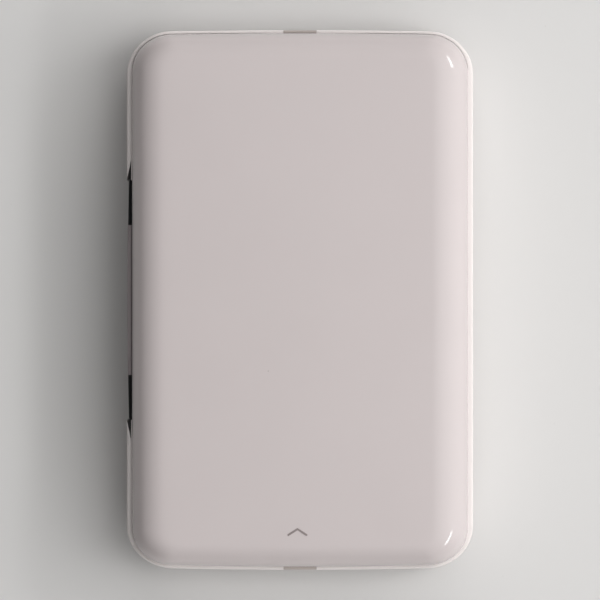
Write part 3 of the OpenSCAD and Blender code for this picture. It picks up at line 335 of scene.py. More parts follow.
# Traces of use: sparse specks of dust that darken the colour, and faint finger smears that dull the gloss
traces, ins, outs = new_group(
    "traces_of_use",
    [("Colour", COLOUR, (0.8, 0.8, 0.8, 1)), ("Roughness", FLOAT, 0.3), ("Specks", FLOAT, 0.3),
     ("Smear", FLOAT, 0.05)],
    [("Colour", COLOUR), ("Roughness", FLOAT)],
)
place = where(traces)
cells = add(traces, "ShaderNodeTexVoronoi", in_Vector=place, in_Scale=330, in_Randomness=1)
smear = add(traces, "ShaderNodeTexNoise", in_Vector=place, in_Scale=75, in_Detail=5, in_Roughness=0.62,
            in_Distortion=0.7)
dot = add(traces, "ShaderNodeMapRange", interpolation_type="SMOOTHSTEP", in_0=cells.outputs["Distance"],
          in_1=0.05, in_2=0.025, in_3=0, in_4=1)
few = calculate(traces, "GREATER_THAN", cells.outputs["Color"], 0.86)
speck = calculate(traces, "MULTIPLY", calculate(traces, "MULTIPLY", dot.outputs[0], few), ins["Specks"])
soil = add(traces, "ShaderNodeMix", data_type="RGBA", in_0=speck, in_6=ins["Colour"],
           in_7=(0.12, 0.10, 0.09, 1))
play = spread(traces, smear.outputs[0], -0.8, 1.2)
dull = calculate(traces, "MULTIPLY_ADD", play, ins["Smear"], ins["Roughness"], clamp=True)
feed(outs, Colour=soil.outputs[2], Roughness=dull)


def start_material(name):
    """A new material, its node tree and its Principled shader."""
    material = bpy.data.materials.new(name)
    material.use_nodes = True
    tree = material.node_tree
    return material, tree, tree.nodes["Principled BSDF"]


def use_group(tree, group, **values):
    """Puts a shared group into a material with that material's own values."""
    node = tree.nodes.new("ShaderNodeGroup")
    node.node_tree = group
    return feed(node, **values)


def cover(shader, surface):
    """Gives a shader the colour and the roughness of a group."""
    feed(shader, Base_Color=surface.outputs["Colour"], Roughness=surface.outputs["Roughness"])


def raise_grain(shader, height, depth, spacing=0.0001):
    """Turns a height into relief on the shader."""
    bump = add(shader.id_data, "ShaderNodeBump", in_Height=height, in_Strength=depth, in_Distance=spacing)
    feed(shader, Normal=bump.outputs[0])


def plastic(name, colour, roughness, cloud=0.03, uneven=0.04, grain_size=0.4, grain=0.05, specks=0.2,
            smear=0.03):
    """A moulded plastic with its traces of use."""
    material, tree, shader = start_material(name)
    body = use_group(tree, moulded, Colour=(*colour, 1), Cloud=cloud, Roughness=roughness,
                     Unevenness=uneven, Grain_Size=grain_size)
    used = use_group(tree, traces, Colour=body.outputs["Colour"], Roughness=body.outputs["Roughness"],
                     Specks=specks, Smear=smear)
    cover(shader, used)
    raise_grain(shader, body.outputs["Height"], grain)
    return material


case_white = plastic("case_white", (0.735, 0.685, 0.67), 0.32, cloud=0.008, uneven=0.012, grain=0.006,
                     specks=0.1, smear=0.012)


def case_ring(inset, z):
    """A ring of the case, drawn in from its widest outline."""
    return plan_ring(CASE_X - inset, CASE_Y - inset, CASE_CORNER - inset, z)


def belly_ring(turn, thin=0.0):
    """A ring of the case's round lower edge, from 0 on the floor to a right angle on the wall.

    Thin moves the ring into the case's thickness.
    """
    inset = thin + (BELLY - thin) * (1 - math.sin(turn))
    return case_ring(inset, FLOOR_Z + thin + (BELLY - thin) * (1 - math.cos(turn)))


# outer part of the wall and the floor
OUTER_T = 1.2
rings = [belly_ring(turn) for turn in quarter_turn(8)]
for turn in quarter_turn(4):
    rings.append(case_ring(RIM_ROUND * (1 - math.cos(turn)), RIM_Z - RIM_ROUND * (1 - math.sin(turn))))
rings.append(case_ring(OUTER_T, RIM_Z))
rings.extend([belly_ring(turn, OUTER_T) for turn in reversed(quarter_turn(8))])
case_shell = solid("case_shell", skin(rings))

# recesses for the strip with its slanting ends, the end inlays, the paper slot, the feet and the screws
PAST_SIDE = -39.0
PAST_END = 60.0
PAST_RIM = 17.0
STRIP_Y = 26.0
STRIP_Z = 4.6
SLANT_Y = 30.2
SLANT_X = -36.65
RECESS_X = -36.25
near_half = [(PAST_SIDE, -STRIP_Y), (-CASE_X, -STRIP_Y), (SLANT_X, -SLANT_Y), (RECESS_X, -SLANT_Y)]
strip_recess = near_half + [(x, -y) for x, y in reversed(near_half)]
cutters = [prism(strip_recess, STRIP_Z, PAST_RIM)]
INLAY_X = 3.6
INLAY_Z = 13.8
INLAY_BACK = 57.2
for low, high in ((-PAST_END, -INLAY_BACK), (INLAY_BACK, PAST_END)):
    cutters.append(box((-INLAY_X, low, INLAY_Z), (INLAY_X, high, PAST_RIM)))
SLOT_X = 26.97
SLOT_Z = 12.3
SLOT_HALF = 1.07
SLOT_FIT = 0.05
cutters.append(box((-SLOT_X - SLOT_FIT, 56, SLOT_Z - SLOT_HALF - SLOT_FIT),
                   (SLOT_X + SLOT_FIT, PAST_END, SLOT_Z + SLOT_HALF + SLOT_FIT)))
FEET = [(x, y) for x in (-27, 27) for y in (-43, 43)]
FOOT_R = 4.0
FOOT_TOP = 1.18
cutters.extend([rod(FOOT_R + 0.1, -1, FOOT_TOP + 0.02, (x, y, 0), "z", 64) for x, y in FEET])
SCREWS = [(-27, -51.5), (27, -51.5), (-22, 54.1), (22, 54.1)]
SCREW_HOLE = 1.93
cutters.extend([rod(SCREW_HOLE, -1, 3, (x, y, 0), "z", 48) for x, y in SCREWS])
tools = [solid("cut", form) for form in cutters]

# room that the lid's front edge swings through
HINGE = (0, 54, 17)
LID_X = 36.4
LID_Y = 57.8
LID_CORNER = 8.4
swing = solid("cut", rod(4.15, -40, 40, HINGE, "x", 128))
under_lid = [plan_ring(LID_X + 0.08, LID_Y + 0.1, LID_CORNER + 0.08, z) for z in (10, 25)]
tools.append(carve(swing, "INTERSECT", solid("keep", skin(under_lid))))
carve(case_shell, "DIFFERENCE", *tools)

# posts, rails, catches and the inner skin of the wall are those of the CAD node
INNER_IN = 0.9
rings = [belly_ring(turn, INNER_IN) for turn in quarter_turn(6)]
rings.append(case_ring(INNER_IN, RIM_Z - 0.02))
inside = carve(cad_solid("base_shell"), "INTERSECT", solid("keep", skin(rings)))
carve(case_shell, "UNION", inside)
dress(case_shell, case_white, "base", "gloss_case", "base_shell")


# --- Control strip ------------------------------------------------------------------------------------
# A strip of piano-black acrylic in the left side, bowed out a little, with slanting ends under the rim.
# It is glued into its recess, and the key, the lights, the reset hole and the charging socket show in it.
CONTROL_Z = 6.8
KEY_Y = 17.0
LIGHTS_Y = (3.0, 7.0)
RESET_Y = -4.0
PORT_Y = -15.0
STRIP_TOP = 15.38
STRIP_ROUND = 0.3


def face_line(x, bow, half_y, inset, steps):
    """The line of a face on the plan, bowed out in its middle and drawn in by an inset."""
    shares = [step / steps for step in range(-steps, steps + 1)]
    return [(x + bow * share ** 2 + inset, (half_y - inset) * share) for share in shares]


def strip_ring(inset, z):
    """The strip's outline on the plan at one height."""
    half_y = STRIP_Y - 0.1
    tip_y = SLANT_Y - 0.3 - inset
    back = [(-36.68, tip_y), (-36.63, tip_y), (-36.63, STRIP_Y), (-36.41, half_y)]
    outline = face_line(-37.4, 0.3, half_y, inset, 20) + back + [(x, -y) for x, y in reversed(back)]
    return [Vector((x, y, z)) for x, y in outline]


def pill(length, height, y, z, steps=12):
    """A pill-shaped outline of Y and Z."""
    outline = []
    for side in (1, -1):
        for step in range(steps + 1):
            turn = math.radians(-90 + 180 * step / steps)
            outline.append((y + side * ((length - height) / 2 + height / 2 * math.cos(turn)),
                            z + side * height / 2 * math.sin(turn)))
    return outline


def gloss_plastic(name, colour, roughness, cloud=0.02, grain=0.01, specks=0.25, smear=0.06, coat=0.0):
    """A polished plastic under a thin clear layer."""
    material = plastic(name, colour, roughness, cloud, uneven=0.015, grain_size=0.9, grain=grain,
                       specks=specks, smear=smear)
    feed(material.node_tree.nodes["Principled BSDF"], Coat_Weight=coat, Coat_Roughness=0.06)
    return material


piano_black = gloss_plastic("piano_black", (0.012, 0.012, 0.013), 0.16, specks=0.5, smear=0.1, coat=0.4)
rings = [strip_ring(0.12, STRIP_Z + 0.1), strip_ring(0, STRIP_Z + 0.22)]
for turn in quarter_turn(3):
    inset = STRIP_ROUND * (1 - math.cos(turn))
    rings.append(strip_ring(inset, STRIP_TOP - STRIP_ROUND * (1 - math.sin(turn))))
control_strip = solid("control_strip", skin(rings))
BEHIND_STRIP = -36.0
openings = [
    prism(pill(9.0, 3.4, KEY_Y, CONTROL_Z), PAST_SIDE, BEHIND_STRIP, "x"),
    prism(pill(7.9, 2.9, PORT_Y, CONTROL_Z, 10), PAST_SIDE, BEHIND_STRIP, "x"),
    rod(0.6, PAST_SIDE, BEHIND_STRIP, (0, RESET_Y, CONTROL_Z), "x", 32),
]
window = [(0, PAST_SIDE), (1.25, PAST_SIDE), (0.84, -37.1), (0.84, BEHIND_STRIP), (0, BEHIND_STRIP)]
openings.extend([turned(window, (0, y, CONTROL_Z), "x", 40) for y in LIGHTS_Y])
carve(control_strip, "DIFFERENCE", *[solid("cut", form) for form in openings])
dress(control_strip, piano_black, "base", "gloss_black", "side_panel")

# satin grey trim line let into the strip's upper edge, between its two black ends
satin_grey = plastic("satin_grey", (0.27, 0.235, 0.24), 0.38, cloud=0.04, uneven=0.05, grain=0.03)
TRIM_Y = 16.3
rings = []
for inset, z in ((0, 14.9), (0, 15.28), (0.04, 15.36), (0.1, 15.4), (0.5, 15.41)):
    outline = face_line(-37.43, 0.12, TRIM_Y, inset, 16)
    outline.extend([(-36.5, TRIM_Y - inset), (-36.5, inset - TRIM_Y)])
    rings.append([Vector((x, y, z)) for x, y in outline])
dress(solid("strip_trim", skin(rings)), satin_grey, "base", "grey_inlay")


# --- Power key ----------------------------------------------------------------------------------------
# A pill-shaped black ABS key with a dished face, moulded with its flange and the stem behind it.
# It slides in the strip and in the case wall, and presses a switch on the board.
satin_black = plastic("satin_black", (0.02, 0.02, 0.021), 0.34, uneven=0.06, grain_size=0.25, grain=0.06,
                      smear=0.1)
KEY_LENGTH = 8.7
KEY_HEIGHT = 3.1
rings = []
for inset, x in ((0, -34.7), (0, -36.95), (0.04, -37.08), (0.12, -37.17), (0.25, -37.2), (0.5, -37.2),
                 (0.75, -37.16), (1.1, -37.11), (1.45, -37.09)):
    outline = pill(KEY_LENGTH - 2 * inset, KEY_HEIGHT - 2 * inset, KEY_Y, CONTROL_Z, 16)
    rings.append([Vector((x, y, z)) for y, z in outline])
power_key = solid("power_key", skin(rings))
flange = solid("flange", prism(pill(10.3, 4.3, KEY_Y, CONTROL_Z), -34.8, -34.2, "x"))
stem = solid("stem", turned([(0, -34.4), (0.9, -34.4), (0.9, -33.5), (0.75, -33.35), (0, -33.35)],
                            (0, KEY_Y, CONTROL_Z), "x", 32))
carve(power_key, "UNION", flange, stem)
dress(power_key, satin_black, "power_button", "gloss_black", "power_button")

# stand-by sign printed on the key: an open ring and a bar
white_ink = plastic("white_ink", (0.62, 0.62, 0.62), 0.5, cloud=0.05, specks=0.1)
INK_BACK = -37.07
INK_FACE = -37.115
SIGN_R = 0.74
SIGN_INNER_R = 0.58
SIGN_GAP = 40
sign = []
for step in range(21):
    turn = math.radians(90 + SIGN_GAP + (360 - 2 * SIGN_GAP) * step / 20)
    sign.append([Vector((x, KEY_Y - r * math.cos(turn), CONTROL_Z + r * math.sin(turn)))
                 for r, x in ((SIGN_R, INK_BACK), (SIGN_R, INK_FACE),
                              (SIGN_INNER_R, INK_FACE), (SIGN_INNER_R, INK_BACK))])
bar = box((INK_FACE, KEY_Y - 0.08, CONTROL_Z + 0.2), (INK_BACK, KEY_Y + 0.08, CONTROL_Z + 0.95))
dress(solid("key_sign", merged(skin(sign), bar)), white_ink, "power_button", "ivory_plastic")


# --- Indicator lights ---------------------------------------------------------------------------------
# Two short rods of frosted acrylic that carry light from the board to the strip, their ends domed.
# They are pressed into the case wall.
frosted, tree, shader = start_material("frosted_acrylic")
body = use_group(tree, moulded, Colour=(0.72, 0.74, 0.76, 1), Cloud=0.05, Roughness=0.3, Unevenness=0.08)
cover(shader, body)
raise_grain(shader, body.outputs["Height"], 0.08)
feed(shader, Transmission_Weight=0.35, IOR=1.49)
dome = [(0, -37.3), (0.3, -37.28), (0.55, -37.2), (0.72, -37.07), (0.8, -36.9), (0.8, -32.9), (0, -32.9)]
rods = merged(*[turned(dome, (0, y, CONTROL_Z), "x", 40) for y in LIGHTS_Y])
dress(solid("light_rods", rods), frosted, "base", "clear_plastic", "led_windows")


# --- Charging socket ----------------------------------------------------------------------------------
# A folded shell of nickel-plated steel with rolled corners, round a black tongue with five contacts.
# It is soldered to the board and shows through the strip.
PORT = [(-3.8, 1.3), (3.8, 1.3), (3.8, -0.25), (2.9, -1.3), (-2.9, -1.3), (-3.8, -0.25)]


def rounded(outline, radius, steps=5):
    """An outline with its corners rounded."""
    points = []
    for i, corner in enumerate(outline):
        here = Vector(corner)
        before = (Vector(outline[i - 1]) - here).normalized()
        after = (Vector(outline[(i + 1) % len(outline)]) - here).normalized()
        half = before.angle(after) / 2
        centre = here + (before + after).normalized() * radius / math.sin(half)
        start = here + before * radius / math.tan(half) - centre
        end = here + after * radius / math.tan(half) - centre
        for step in range(steps + 1):
            points.append(centre + start.slerp(end, step / steps))
    return points


def shrunk(outline, by):
    """An outline drawn in by a distance along its corners."""
    points = []
    for i, corner in enumerate(outline):
        here = Vector(corner)
        before = (here - Vector(outline[i - 1])).normalized()
        after = (Vector(outline[(i + 1) % len(outline)]) - here).normalized()
        inward = Vector((before.y, -before.x)) + Vector((after.y, -after.x))
        points.append(here + inward.normalized() * by / math.cos(before.angle(after) / 2))
    return points


lines, ins, outs = new_group(
    "drawn_metal",
    [("Colour", COLOUR, (0.6, 0.6, 0.6, 1)), ("Play", FLOAT, 0.1), ("Roughness", FLOAT, 0.3),
     ("Unevenness", FLOAT, 0.1), ("Lines", "NodeSocketVector", (100, 4000, 4000))],
    [("Colour", COLOUR), ("Roughness", FLOAT), ("Height", FLOAT)],
)
place = where(lines)
stretch = add(lines, "ShaderNodeVectorMath", operation="MULTIPLY", in_0=place, in_1=ins["Lines"])
streak = add(lines, "ShaderNodeTexNoise", in_Vector=stretch.outputs[0], in_Scale=1, in_Detail=3,
             in_Roughness=0.6)
stain = add(lines, "ShaderNodeTexNoise", in_Vector=place, in_Scale=160, in_Detail=4, in_Roughness=0.6)
streaks = spread(lines, streak.outputs[0], -1, 1)
both = calculate(lines, "ADD", streaks, spread(lines, stain.outputs[0], -1, 1))
shade = calculate(lines, "MULTIPLY_ADD", both, ins["Play"], 1)
dull = calculate(lines, "MULTIPLY_ADD", both, ins["Unevenness"], ins["Roughness"], clamp=True)
feed(outs, Colour=tinted(lines, ins["Colour"], shade), Roughness=dull, Height=streak.outputs[0])
ALONG_X = (60, 4200, 4200)
ALONG_Y = (4200, 60, 4200)
ALL_WAYS = (1500, 1500, 1500)


def metal(name, colour, roughness, play=0.08, uneven=0.08, lines_along=ALL_WAYS, relief=0.05):
    """A metal with its drawing, rolling or tumbling marks."""
    material, tree, shader = start_material(name)
    surface = use_group(tree, lines, Colour=(*colour, 1), Play=play, Roughness=roughness,
                        Unevenness=uneven, Lines=lines_along)
    cover(shader, surface)
    raise_grain(shader, surface.outputs["Height"], relief, 0.00005)
    feed(shader, Metallic=1.0)
    return material


nickel = metal("nickel", (0.66, 0.65, 0.62), 0.24, lines_along=ALONG_X)
PORT_BACK = -31.8
loops = []
for drawn, radius, x in ((0, 0.55, PORT_BACK), (0, 0.55, -36.88), (0.05, 0.5, -36.97), (0.13, 0.45, -37.0),
                         (0.24, 0.35, -36.97), (0.3, 0.3, -36.88), (0.3, 0.3, PORT_BACK)):
    outline = rounded(shrunk(PORT, drawn), radius)
    loops.append([Vector((x, PORT_Y + y, CONTROL_Z + z)) for y, z in outline])
dress(solid("port_shell", skin(loops, open_middle=True)), nickel, "base", "steel", "usb_socket")

tongue = box((-36.3, PORT_Y - 2.1, CONTROL_Z - 0.05), (-32.3, PORT_Y + 2.1, CONTROL_Z + 0.55), 0.08)
dress(solid("port_tongue", tongue), satin_black, "base", "dark_plastic", "usb_tongue")
gold = metal("gold_plate", (0.78, 0.56, 0.22), 0.25, play=0.05)
contacts = [box((-36.1, PORT_Y + y - 0.13, CONTROL_Z - 0.09), (-32.8, PORT_Y + y + 0.13, CONTROL_Z - 0.03))
            for y in (-1.3, -0.65, 0, 0.65, 1.3)]
dress(solid("port_contacts", merged(*contacts)), gold, "base", "brass")


# --- End inlays ---------------------------------------------------------------------------------------
# Two small blocks of warm grey nylon let into the rim, one in the middle of each end.
# They are snapped in flush with the wall, and their upper outer edge is rounded.
warm_grey = plastic("warm_grey", (0.44, 0.385, 0.36), 0.45, cloud=0.04, grain_size=0.3, grain=0.08)


def end_bow(x, side):
    """How far an end's bow moves a point outwards, which is 0 in the middle and less than 0 beside it."""
    return side * bowed(x, side * BOW_END) - BOW_END


inlays = []
for side in (-1, 1):
    rings = []
    for inset, z in ((0.08, 13.82), (0, 13.9), (0, 15.0), (0.06, 15.2), (0.18, 15.34), (0.4, RIM_Z)):
        across = INLAY_X - 0.03 - inset * 0.3
        outer = CASE_Y - 0.04 - inset
        back = side * (INLAY_BACK + 0.3)
        ring = []
        for x in [across * (k / 4 - 1) for k in range(9)]:
            ring.append(Vector((x, side * (outer + end_bow(x, side)), z)))
        ring.extend([Vector((across, back, z)), Vector((-across, back, z))])
        rings.append(ring)
    inlays.append(skin(rings))
end_inlays = solid("end_inlays", merged(*inlays))
carve(end_inlays, "DIFFERENCE", solid("cut", rod(4.22, -5, 5, HINGE, "x", 96)))
dress(end_inlays, warm_grey, "base", "grey_inlay", "end_tabs")


# --- Paper slot lining --------------------------------------------------------------------------------
# A black ABS frame round the paper slot, its mouth flared so that a print doesn't catch.
# It follows the bow of the wall and is pressed in from outside.
LINING_BACK = 56.8
loops = []
for drawn, y in ((0, LINING_BACK), (0, 58.22), (0.06, 58.31), (0.15, 58.35), (0.19, 58.35), (0.31, 58.32),
                 (0.41, 58.22), (0.46, 58.05), (0.47, 57.85), (0.47, LINING_BACK)):
    loop = []
    for side in (1, -1):
        along = [side * (SLOT_X - drawn) * (1 - k / 12) for k in range(25)]
        z = SLOT_Z + side * (SLOT_HALF - drawn)
        loop.extend([Vector((x, y + end_bow(x, 1), z)) for x in along])
    loops.append(loop)
matt_black = plastic("matt_black", (0.022, 0.022, 0.024), 0.5, uneven=0.06, grain_size=0.22, grain=0.15,
                     specks=0.4)
dress(solid("slot_lining", skin(loops, open_middle=True)), matt_black, "base", "dark_plastic", "exit_bezel")


# --- Feet ---------------------------------------------------------------------------------------------
# Four discs of black silicone rubber with a rounded lower edge and a shallow hollow in the middle.
# They are stuck in recesses of the floor.
rubber = plastic("silicone_rubber", (0.028, 0.028, 0.03), 0.72, cloud=0.08, uneven=0.08, grain_size=0.18,
                 grain=0.3, specks=0.9, smear=0.1)
tread = [(0, 0.06), (1.5, 0.06), (1.7, 0), (3.45, 0), (3.7, 0.06), (3.9, 0.2), (FOOT_R, 0.45),
         (FOOT_R, FOOT_TOP), (0, FOOT_TOP)]
discs = merged(*[turned(tread, (x, y, 0), "z", 64) for x, y in FEET])
dress(solid("rubber_feet", discs), rubber, "base", "soft_rubber", "feet")


# --- Case screws --------------------------------------------------------------------------------------
# Four cross-head screws of black zinc-plated steel, sunk in the floor, that draw the tray down.
# Their heads are domed, and their threads cut into the tray's bosses.
black_zinc = metal("black_zinc", (0.10, 0.10, 0.105), 0.34, play=0.15)


def cross_screw(spot, head, depth, shank, length):
    """A screw that stands on its head: domed head with a cross recess, and a shank up from it."""
    profile = [(0, 0), (head * 0.45, 0.02), (head * 0.78, 0.1), (head * 0.95, 0.26), (head, 0.45),
               (head, depth), (shank, depth)]
    thread = 0.5
    for k in range(int(length / thread)):
        start = depth + thread * k
        profile.extend([(shank, start + 0.1), (shank * 0.84, start + 0.35)])
    profile.extend([(shank * 0.5, depth + length), (0, depth + length)])
    screw = solid("screw", turned(profile, spot, "z", 32))
    recess = []
    for turn in (20, 110):
        slot = box((-head * 0.52, -0.17, -0.3), (head * 0.52, 0.17, depth * 0.62))
        bmesh.ops.rotate(slot, matrix=Matrix.Rotation(math.radians(turn), 3, "Z"), verts=slot.verts)
        bmesh.ops.translate(slot, vec=spot, verts=slot.verts)
        recess.append(solid("cut", slot))
    return carve(screw, "DIFFERENCE", *recess)


def joined(name, pieces):
    """Several objects as one."""
    whole = bmesh.new()
    for piece in pieces:
        whole.from_mesh(piece.data)
        bpy.data.objects.remove(piece)
    return solid(name, whole)


screws = [cross_screw((x, y, 0.75), head=1.7, depth=1.15, shank=1.0, length=7.5) for x, y in SCREWS]
dress(joined("case_screw_set", screws), black_zinc, "base", "screw_steel", "case_screws")


# --- Paper tray ---------------------------------------------------------------------------------------
# The black glass-filled ABS frame inside the case: deck, cheeks, ears and stops in one moulding.
# The four case screws hold it down, and the engine is built on it.


def soften(node, width, steps=2):
    """Rounds the sharp edges of a CAD node as its mould or its tumbling does."""
    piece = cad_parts[node]
    weld = piece.modifiers.new("weld", "WELD")
    weld.merge_threshold = 1e-7
    flat = piece.modifiers.new("whole_faces", "DECIMATE")
    flat.decimate_type = "DISSOLVE"
    flat.angle_limit = math.radians(0.8)
    rounding = piece.modifiers.new("rounding", "BEVEL")
    rounding.width = width * 0.001
    rounding.segments = steps
    rounding.limit_method = "ANGLE"
    rounding.angle_limit = math.radians(40)
    even = piece.modifiers.new("even_normals", "WEIGHTED_NORMAL")
    even.keep_sharp = True


def finish_node(material, *nodes):
    """Gives CAD nodes a finish."""
    for node in nodes:
        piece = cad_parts[node]
        for place in piece.material_slots:
            place.material = material


tray_black = plastic("tray_black", (0.030, 0.030, 0.032), 0.46, cloud=0.06, uneven=0.07, grain_size=0.2,
                     grain=0.2, specks=0.5, smear=0.08)
finish_node(tray_black, "paper_tray")
soften("paper_tray", 0.12)


# --- Foam strip and battery tape ----------------------------------------------------------------------
# Open-cell polyurethane foam, die-cut and stuck on: a strip that rubs the last sheet at the tray's back,
# and a thin pad under the battery.
foam, tree, shader = start_material("foam")
body = use_group(tree, moulded, Colour=(0.05, 0.05, 0.055, 1), Cloud=0.12, Roughness=0.9, Unevenness=0.05)
cover(shader, body)
pores = add(tree, "ShaderNodeTexVoronoi", in_Vector=where(tree), in_Scale=3200)
raise_grain(shader, pores.outputs["Distance"], 0.8)
strip = solid("foam_strip", box((-8, -52.98, 12.4), (8, -52.4, 14.5), 0.16, 3))
dress(strip, foam, "base", "foam_pad", "tray_pad")
tape = solid("battery_tape", box((-6, -44, 2.0), (20, -9, 2.3), 0.06, 2))
dress(tape, foam, "base", "foam_pad", "battery_foam")


# --- Circuit board ------------------------------------------------------------------------------------
# A four-layer board with green solder mask over its copper, and black, steel and ivory parts on it.
# It lies on three posts of the case, with a hole over each.
mask, tree, shader = start_material("solder_mask")
body = use_group(tree, moulded, Colour=(0.012, 0.105, 0.055, 1), Cloud=0.08, Roughness=0.28, Unevenness=0.05)
tracks = add(tree, "ShaderNodeTexBrick", offset=0.37, in_Vector=where(tree), in_Scale=1,
             in_Color1=(1, 1, 1, 1), in_Color2=(1, 1, 1, 1), in_Mortar=(0, 0, 0, 1), in_Mortar_Size=0.00012,
             in_Brick_Width=0.0032, in_Row_Height=0.0009)
copper = add(tree, "ShaderNodeMix", data_type="RGBA", in_0=tracks.outputs["Fac"], in_6=body.outputs["Colour"],
             in_7=(0.04, 0.22, 0.11, 1))
feed(shader, Base_Color=copper.outputs[2], Roughness=body.outputs["Roughness"])
raise_grain(shader, tracks.outputs["Fac"], 0.25)
finish_node(mask, "circuit_board")
chip_epoxy = plastic("chip_epoxy", (0.025, 0.025, 0.027), 0.55, cloud=0.05, grain_size=0.12, grain=0.2)
finish_node(chip_epoxy, "board_chips")
tinplate = metal("tinplate", (0.62, 0.61, 0.58), 0.3, play=0.06)
finish_node(tinplate, "board_shields")
ivory = plastic("ivory_nylon", (0.74, 0.70, 0.60), 0.48, cloud=0.03, grain_size=0.3, grain=0.06)
finish_node(ivory, "board_sockets")
finish_node(matt_black, "board_switches")

# small resistors and capacitors between the larger parts, with their soldered ends
ceramic_tan = plastic("ceramic_tan", (0.36, 0.27, 0.18), 0.5, cloud=0.15)
solder = metal("solder", (0.60, 0.60, 0.60), 0.3)
bodies = []
ends = []
for row in range(9):
    for column in range(3):
        x = -31.6 + 1.25 * column + 0.3 * (row % 2)
        y = -30 + 2.3 * row
        bodies.append(box((x - 0.25, y - 0.28, 5.41), (x + 0.25, y + 0.28, 5.86), 0.04, 1))
        for end in (y - 0.4, y + 0.4):
            ends.append(box((x - 0.26, end - 0.15, 5.4), (x + 0.26, end + 0.15, 5.87), 0.05, 1))
dress(solid("chip_parts", merged(*bodies)), ceramic_tan, "base", "ceramic")
dress(solid("chip_part_ends", merged(*ends)), solder, "base", "zinc_steel")


# --- Battery and leads --------------------------------------------------------------------------------
# A lithium-polymer cell in an aluminium foil pouch, taped to the case floor between its rails.
# Two pairs of silicone leads, red and black, run from it and from the motor to sockets on the board.
pouch, tree, shader = start_material("foil_pouch")
surface = use_group(tree, lines, Colour=(0.70, 0.70, 0.71, 1), Play=0.05, Roughness=0.36, Unevenness=0.06,
                    Lines=(300, 300, 300))
cover(shader, surface)
raise_grain(shader, surface.outputs["Height"], 0.5)
feed(shader, Metallic=0.9)
finish_node(pouch, "battery_pack")


def smooth_path(points, steps):
    """More points along a row of points, on a smooth curve through all of them."""
    spots = [Vector(p) for p in points]
    spots = [2 * spots[0] - spots[1]] + spots + [2 * spots[-1] - spots[-2]]
    path = []
    for a, b, c, d in zip(spots, spots[1:], spots[2:], spots[3:]):
        for step in range(steps):
            t = step / steps
            path.append(0.5 * (2 * b + (c - a) * t + (2 * a - 5 * b + 4 * c - d) * t ** 2
                               + (3 * b - a - 3 * c + d) * t ** 3))
    path.append(spots[-2])
    return path


def wire(path, radius, sides=12):
    """A round wire along a path, its ends closed."""
    rings = []
    side = None
    for i, spot in enumerate(path):
        along = (path[min(i + 1, len(path) - 1)] - path[max(i - 1, 0)]).normalized()
        if side is None:
            side = along.orthogonal().normalized()
        side = (side - along * side.dot(along)).normalized()
        other = along.cross(side)
        turns = [math.tau * k / sides for k in range(sides)]
        rings.append([spot + radius * (math.cos(turn) * side + math.sin(turn) * other) for turn in turns])
    return skin(rings)


BATTERY_LEAD = [(-10.1, -7.92, 4.9), (-11.4, -7.92, 5.1), (-12.8, -7.92, 6.4), (-14.0, -7.92, 6.5),
                (-16.5, -7.92, 6.5)]
MOTOR_LEAD = [(9.95, 4.6, 6.4), (7.9, 4.6, 6.4), (0.0, 4.2, 6.6), (-8.0, 3.6, 6.4), (-13.5, 3.6, 6.5),
              (-16.5, 3.6, 6.5)]
LEAD_R = 0.5
LEAD_GAP = 1.15
red_lead = plastic("red_lead", (0.42, 0.015, 0.012), 0.42, cloud=0.05)
black_lead = plastic("black_lead", (0.02, 0.02, 0.022), 0.42, cloud=0.05)
for name, route in (("battery_lead", BATTERY_LEAD), ("motor_lead", MOTOR_LEAD)):
    path = smooth_path(route, 8)
    beside = [p - Vector((0, LEAD_GAP, 0)) for p in path]
    dress(solid(name + "_red", wire(path, LEAD_R)), red_lead, "base", "lead_skin", name + "s")
    dress(solid(name + "_black", wire(beside, LEAD_R)), black_lead, "base", "lead_skin", name + "s")


# --- Engine plates ------------------------------------------------------------------------------------
# Two side plates and a bridge of 1 mm rolled steel, zinc plated, punched from strip and screwed to the tray.
# Turned bushes of sintered bronze sit in them, and turned studs are riveted in for the loose gears.
zinc = metal("zinc_plate", (0.58, 0.585, 0.60), 0.3, play=0.1, lines_along=ALONG_Y)
zinc_bridge = metal("zinc_bridge", (0.58, 0.585, 0.60), 0.3, play=0.1, lines_along=ALONG_X)
bronze = metal("sintered_bronze", (0.52, 0.34, 0.16), 0.42, play=0.12, relief=0.15)
turned_steel = metal("turned_steel", (0.56, 0.56, 0.57), 0.22, play=0.06)
finish_node(zinc, "right_plate", "left_plate")
soften("right_plate", 0.06)
soften("left_plate", 0.06)
finish_node(zinc_bridge, "spring_bridge")
finish_node(bronze, "roller_bushes")
finish_node(turned_steel, "gear_studs", "plate_screws")


# --- Motor --------------------------------------------------------------------------------------------
# A small direct-current motor: drawn nickel-plated can with two flats, black end cap, ground shaft.
# It is fixed to the right plate, and a brass pinion is pressed on its shaft.
finish_node(nickel, "motor_can")
finish_node(matt_black, "motor_cap")
finish_node(turned_steel, "motor_shaft")
brass = metal("brass", (0.72, 0.52, 0.22), 0.27, play=0.06)
finish_node(brass, "motor_pinion")


# --- Rollers ------------------------------------------------------------------------------------------
# The platen and the pick tyres are silicone rubber moulded on steel shafts and ground round.
# The drive roller is knurled steel, and a sprung rubber roller pinches the print against it.
ground_rubber = plastic("ground_rubber", (0.075, 0.075, 0.08), 0.66, cloud=0.06, uneven=0.08, grain_size=0.1,
                        grain=0.3, specks=0.5)


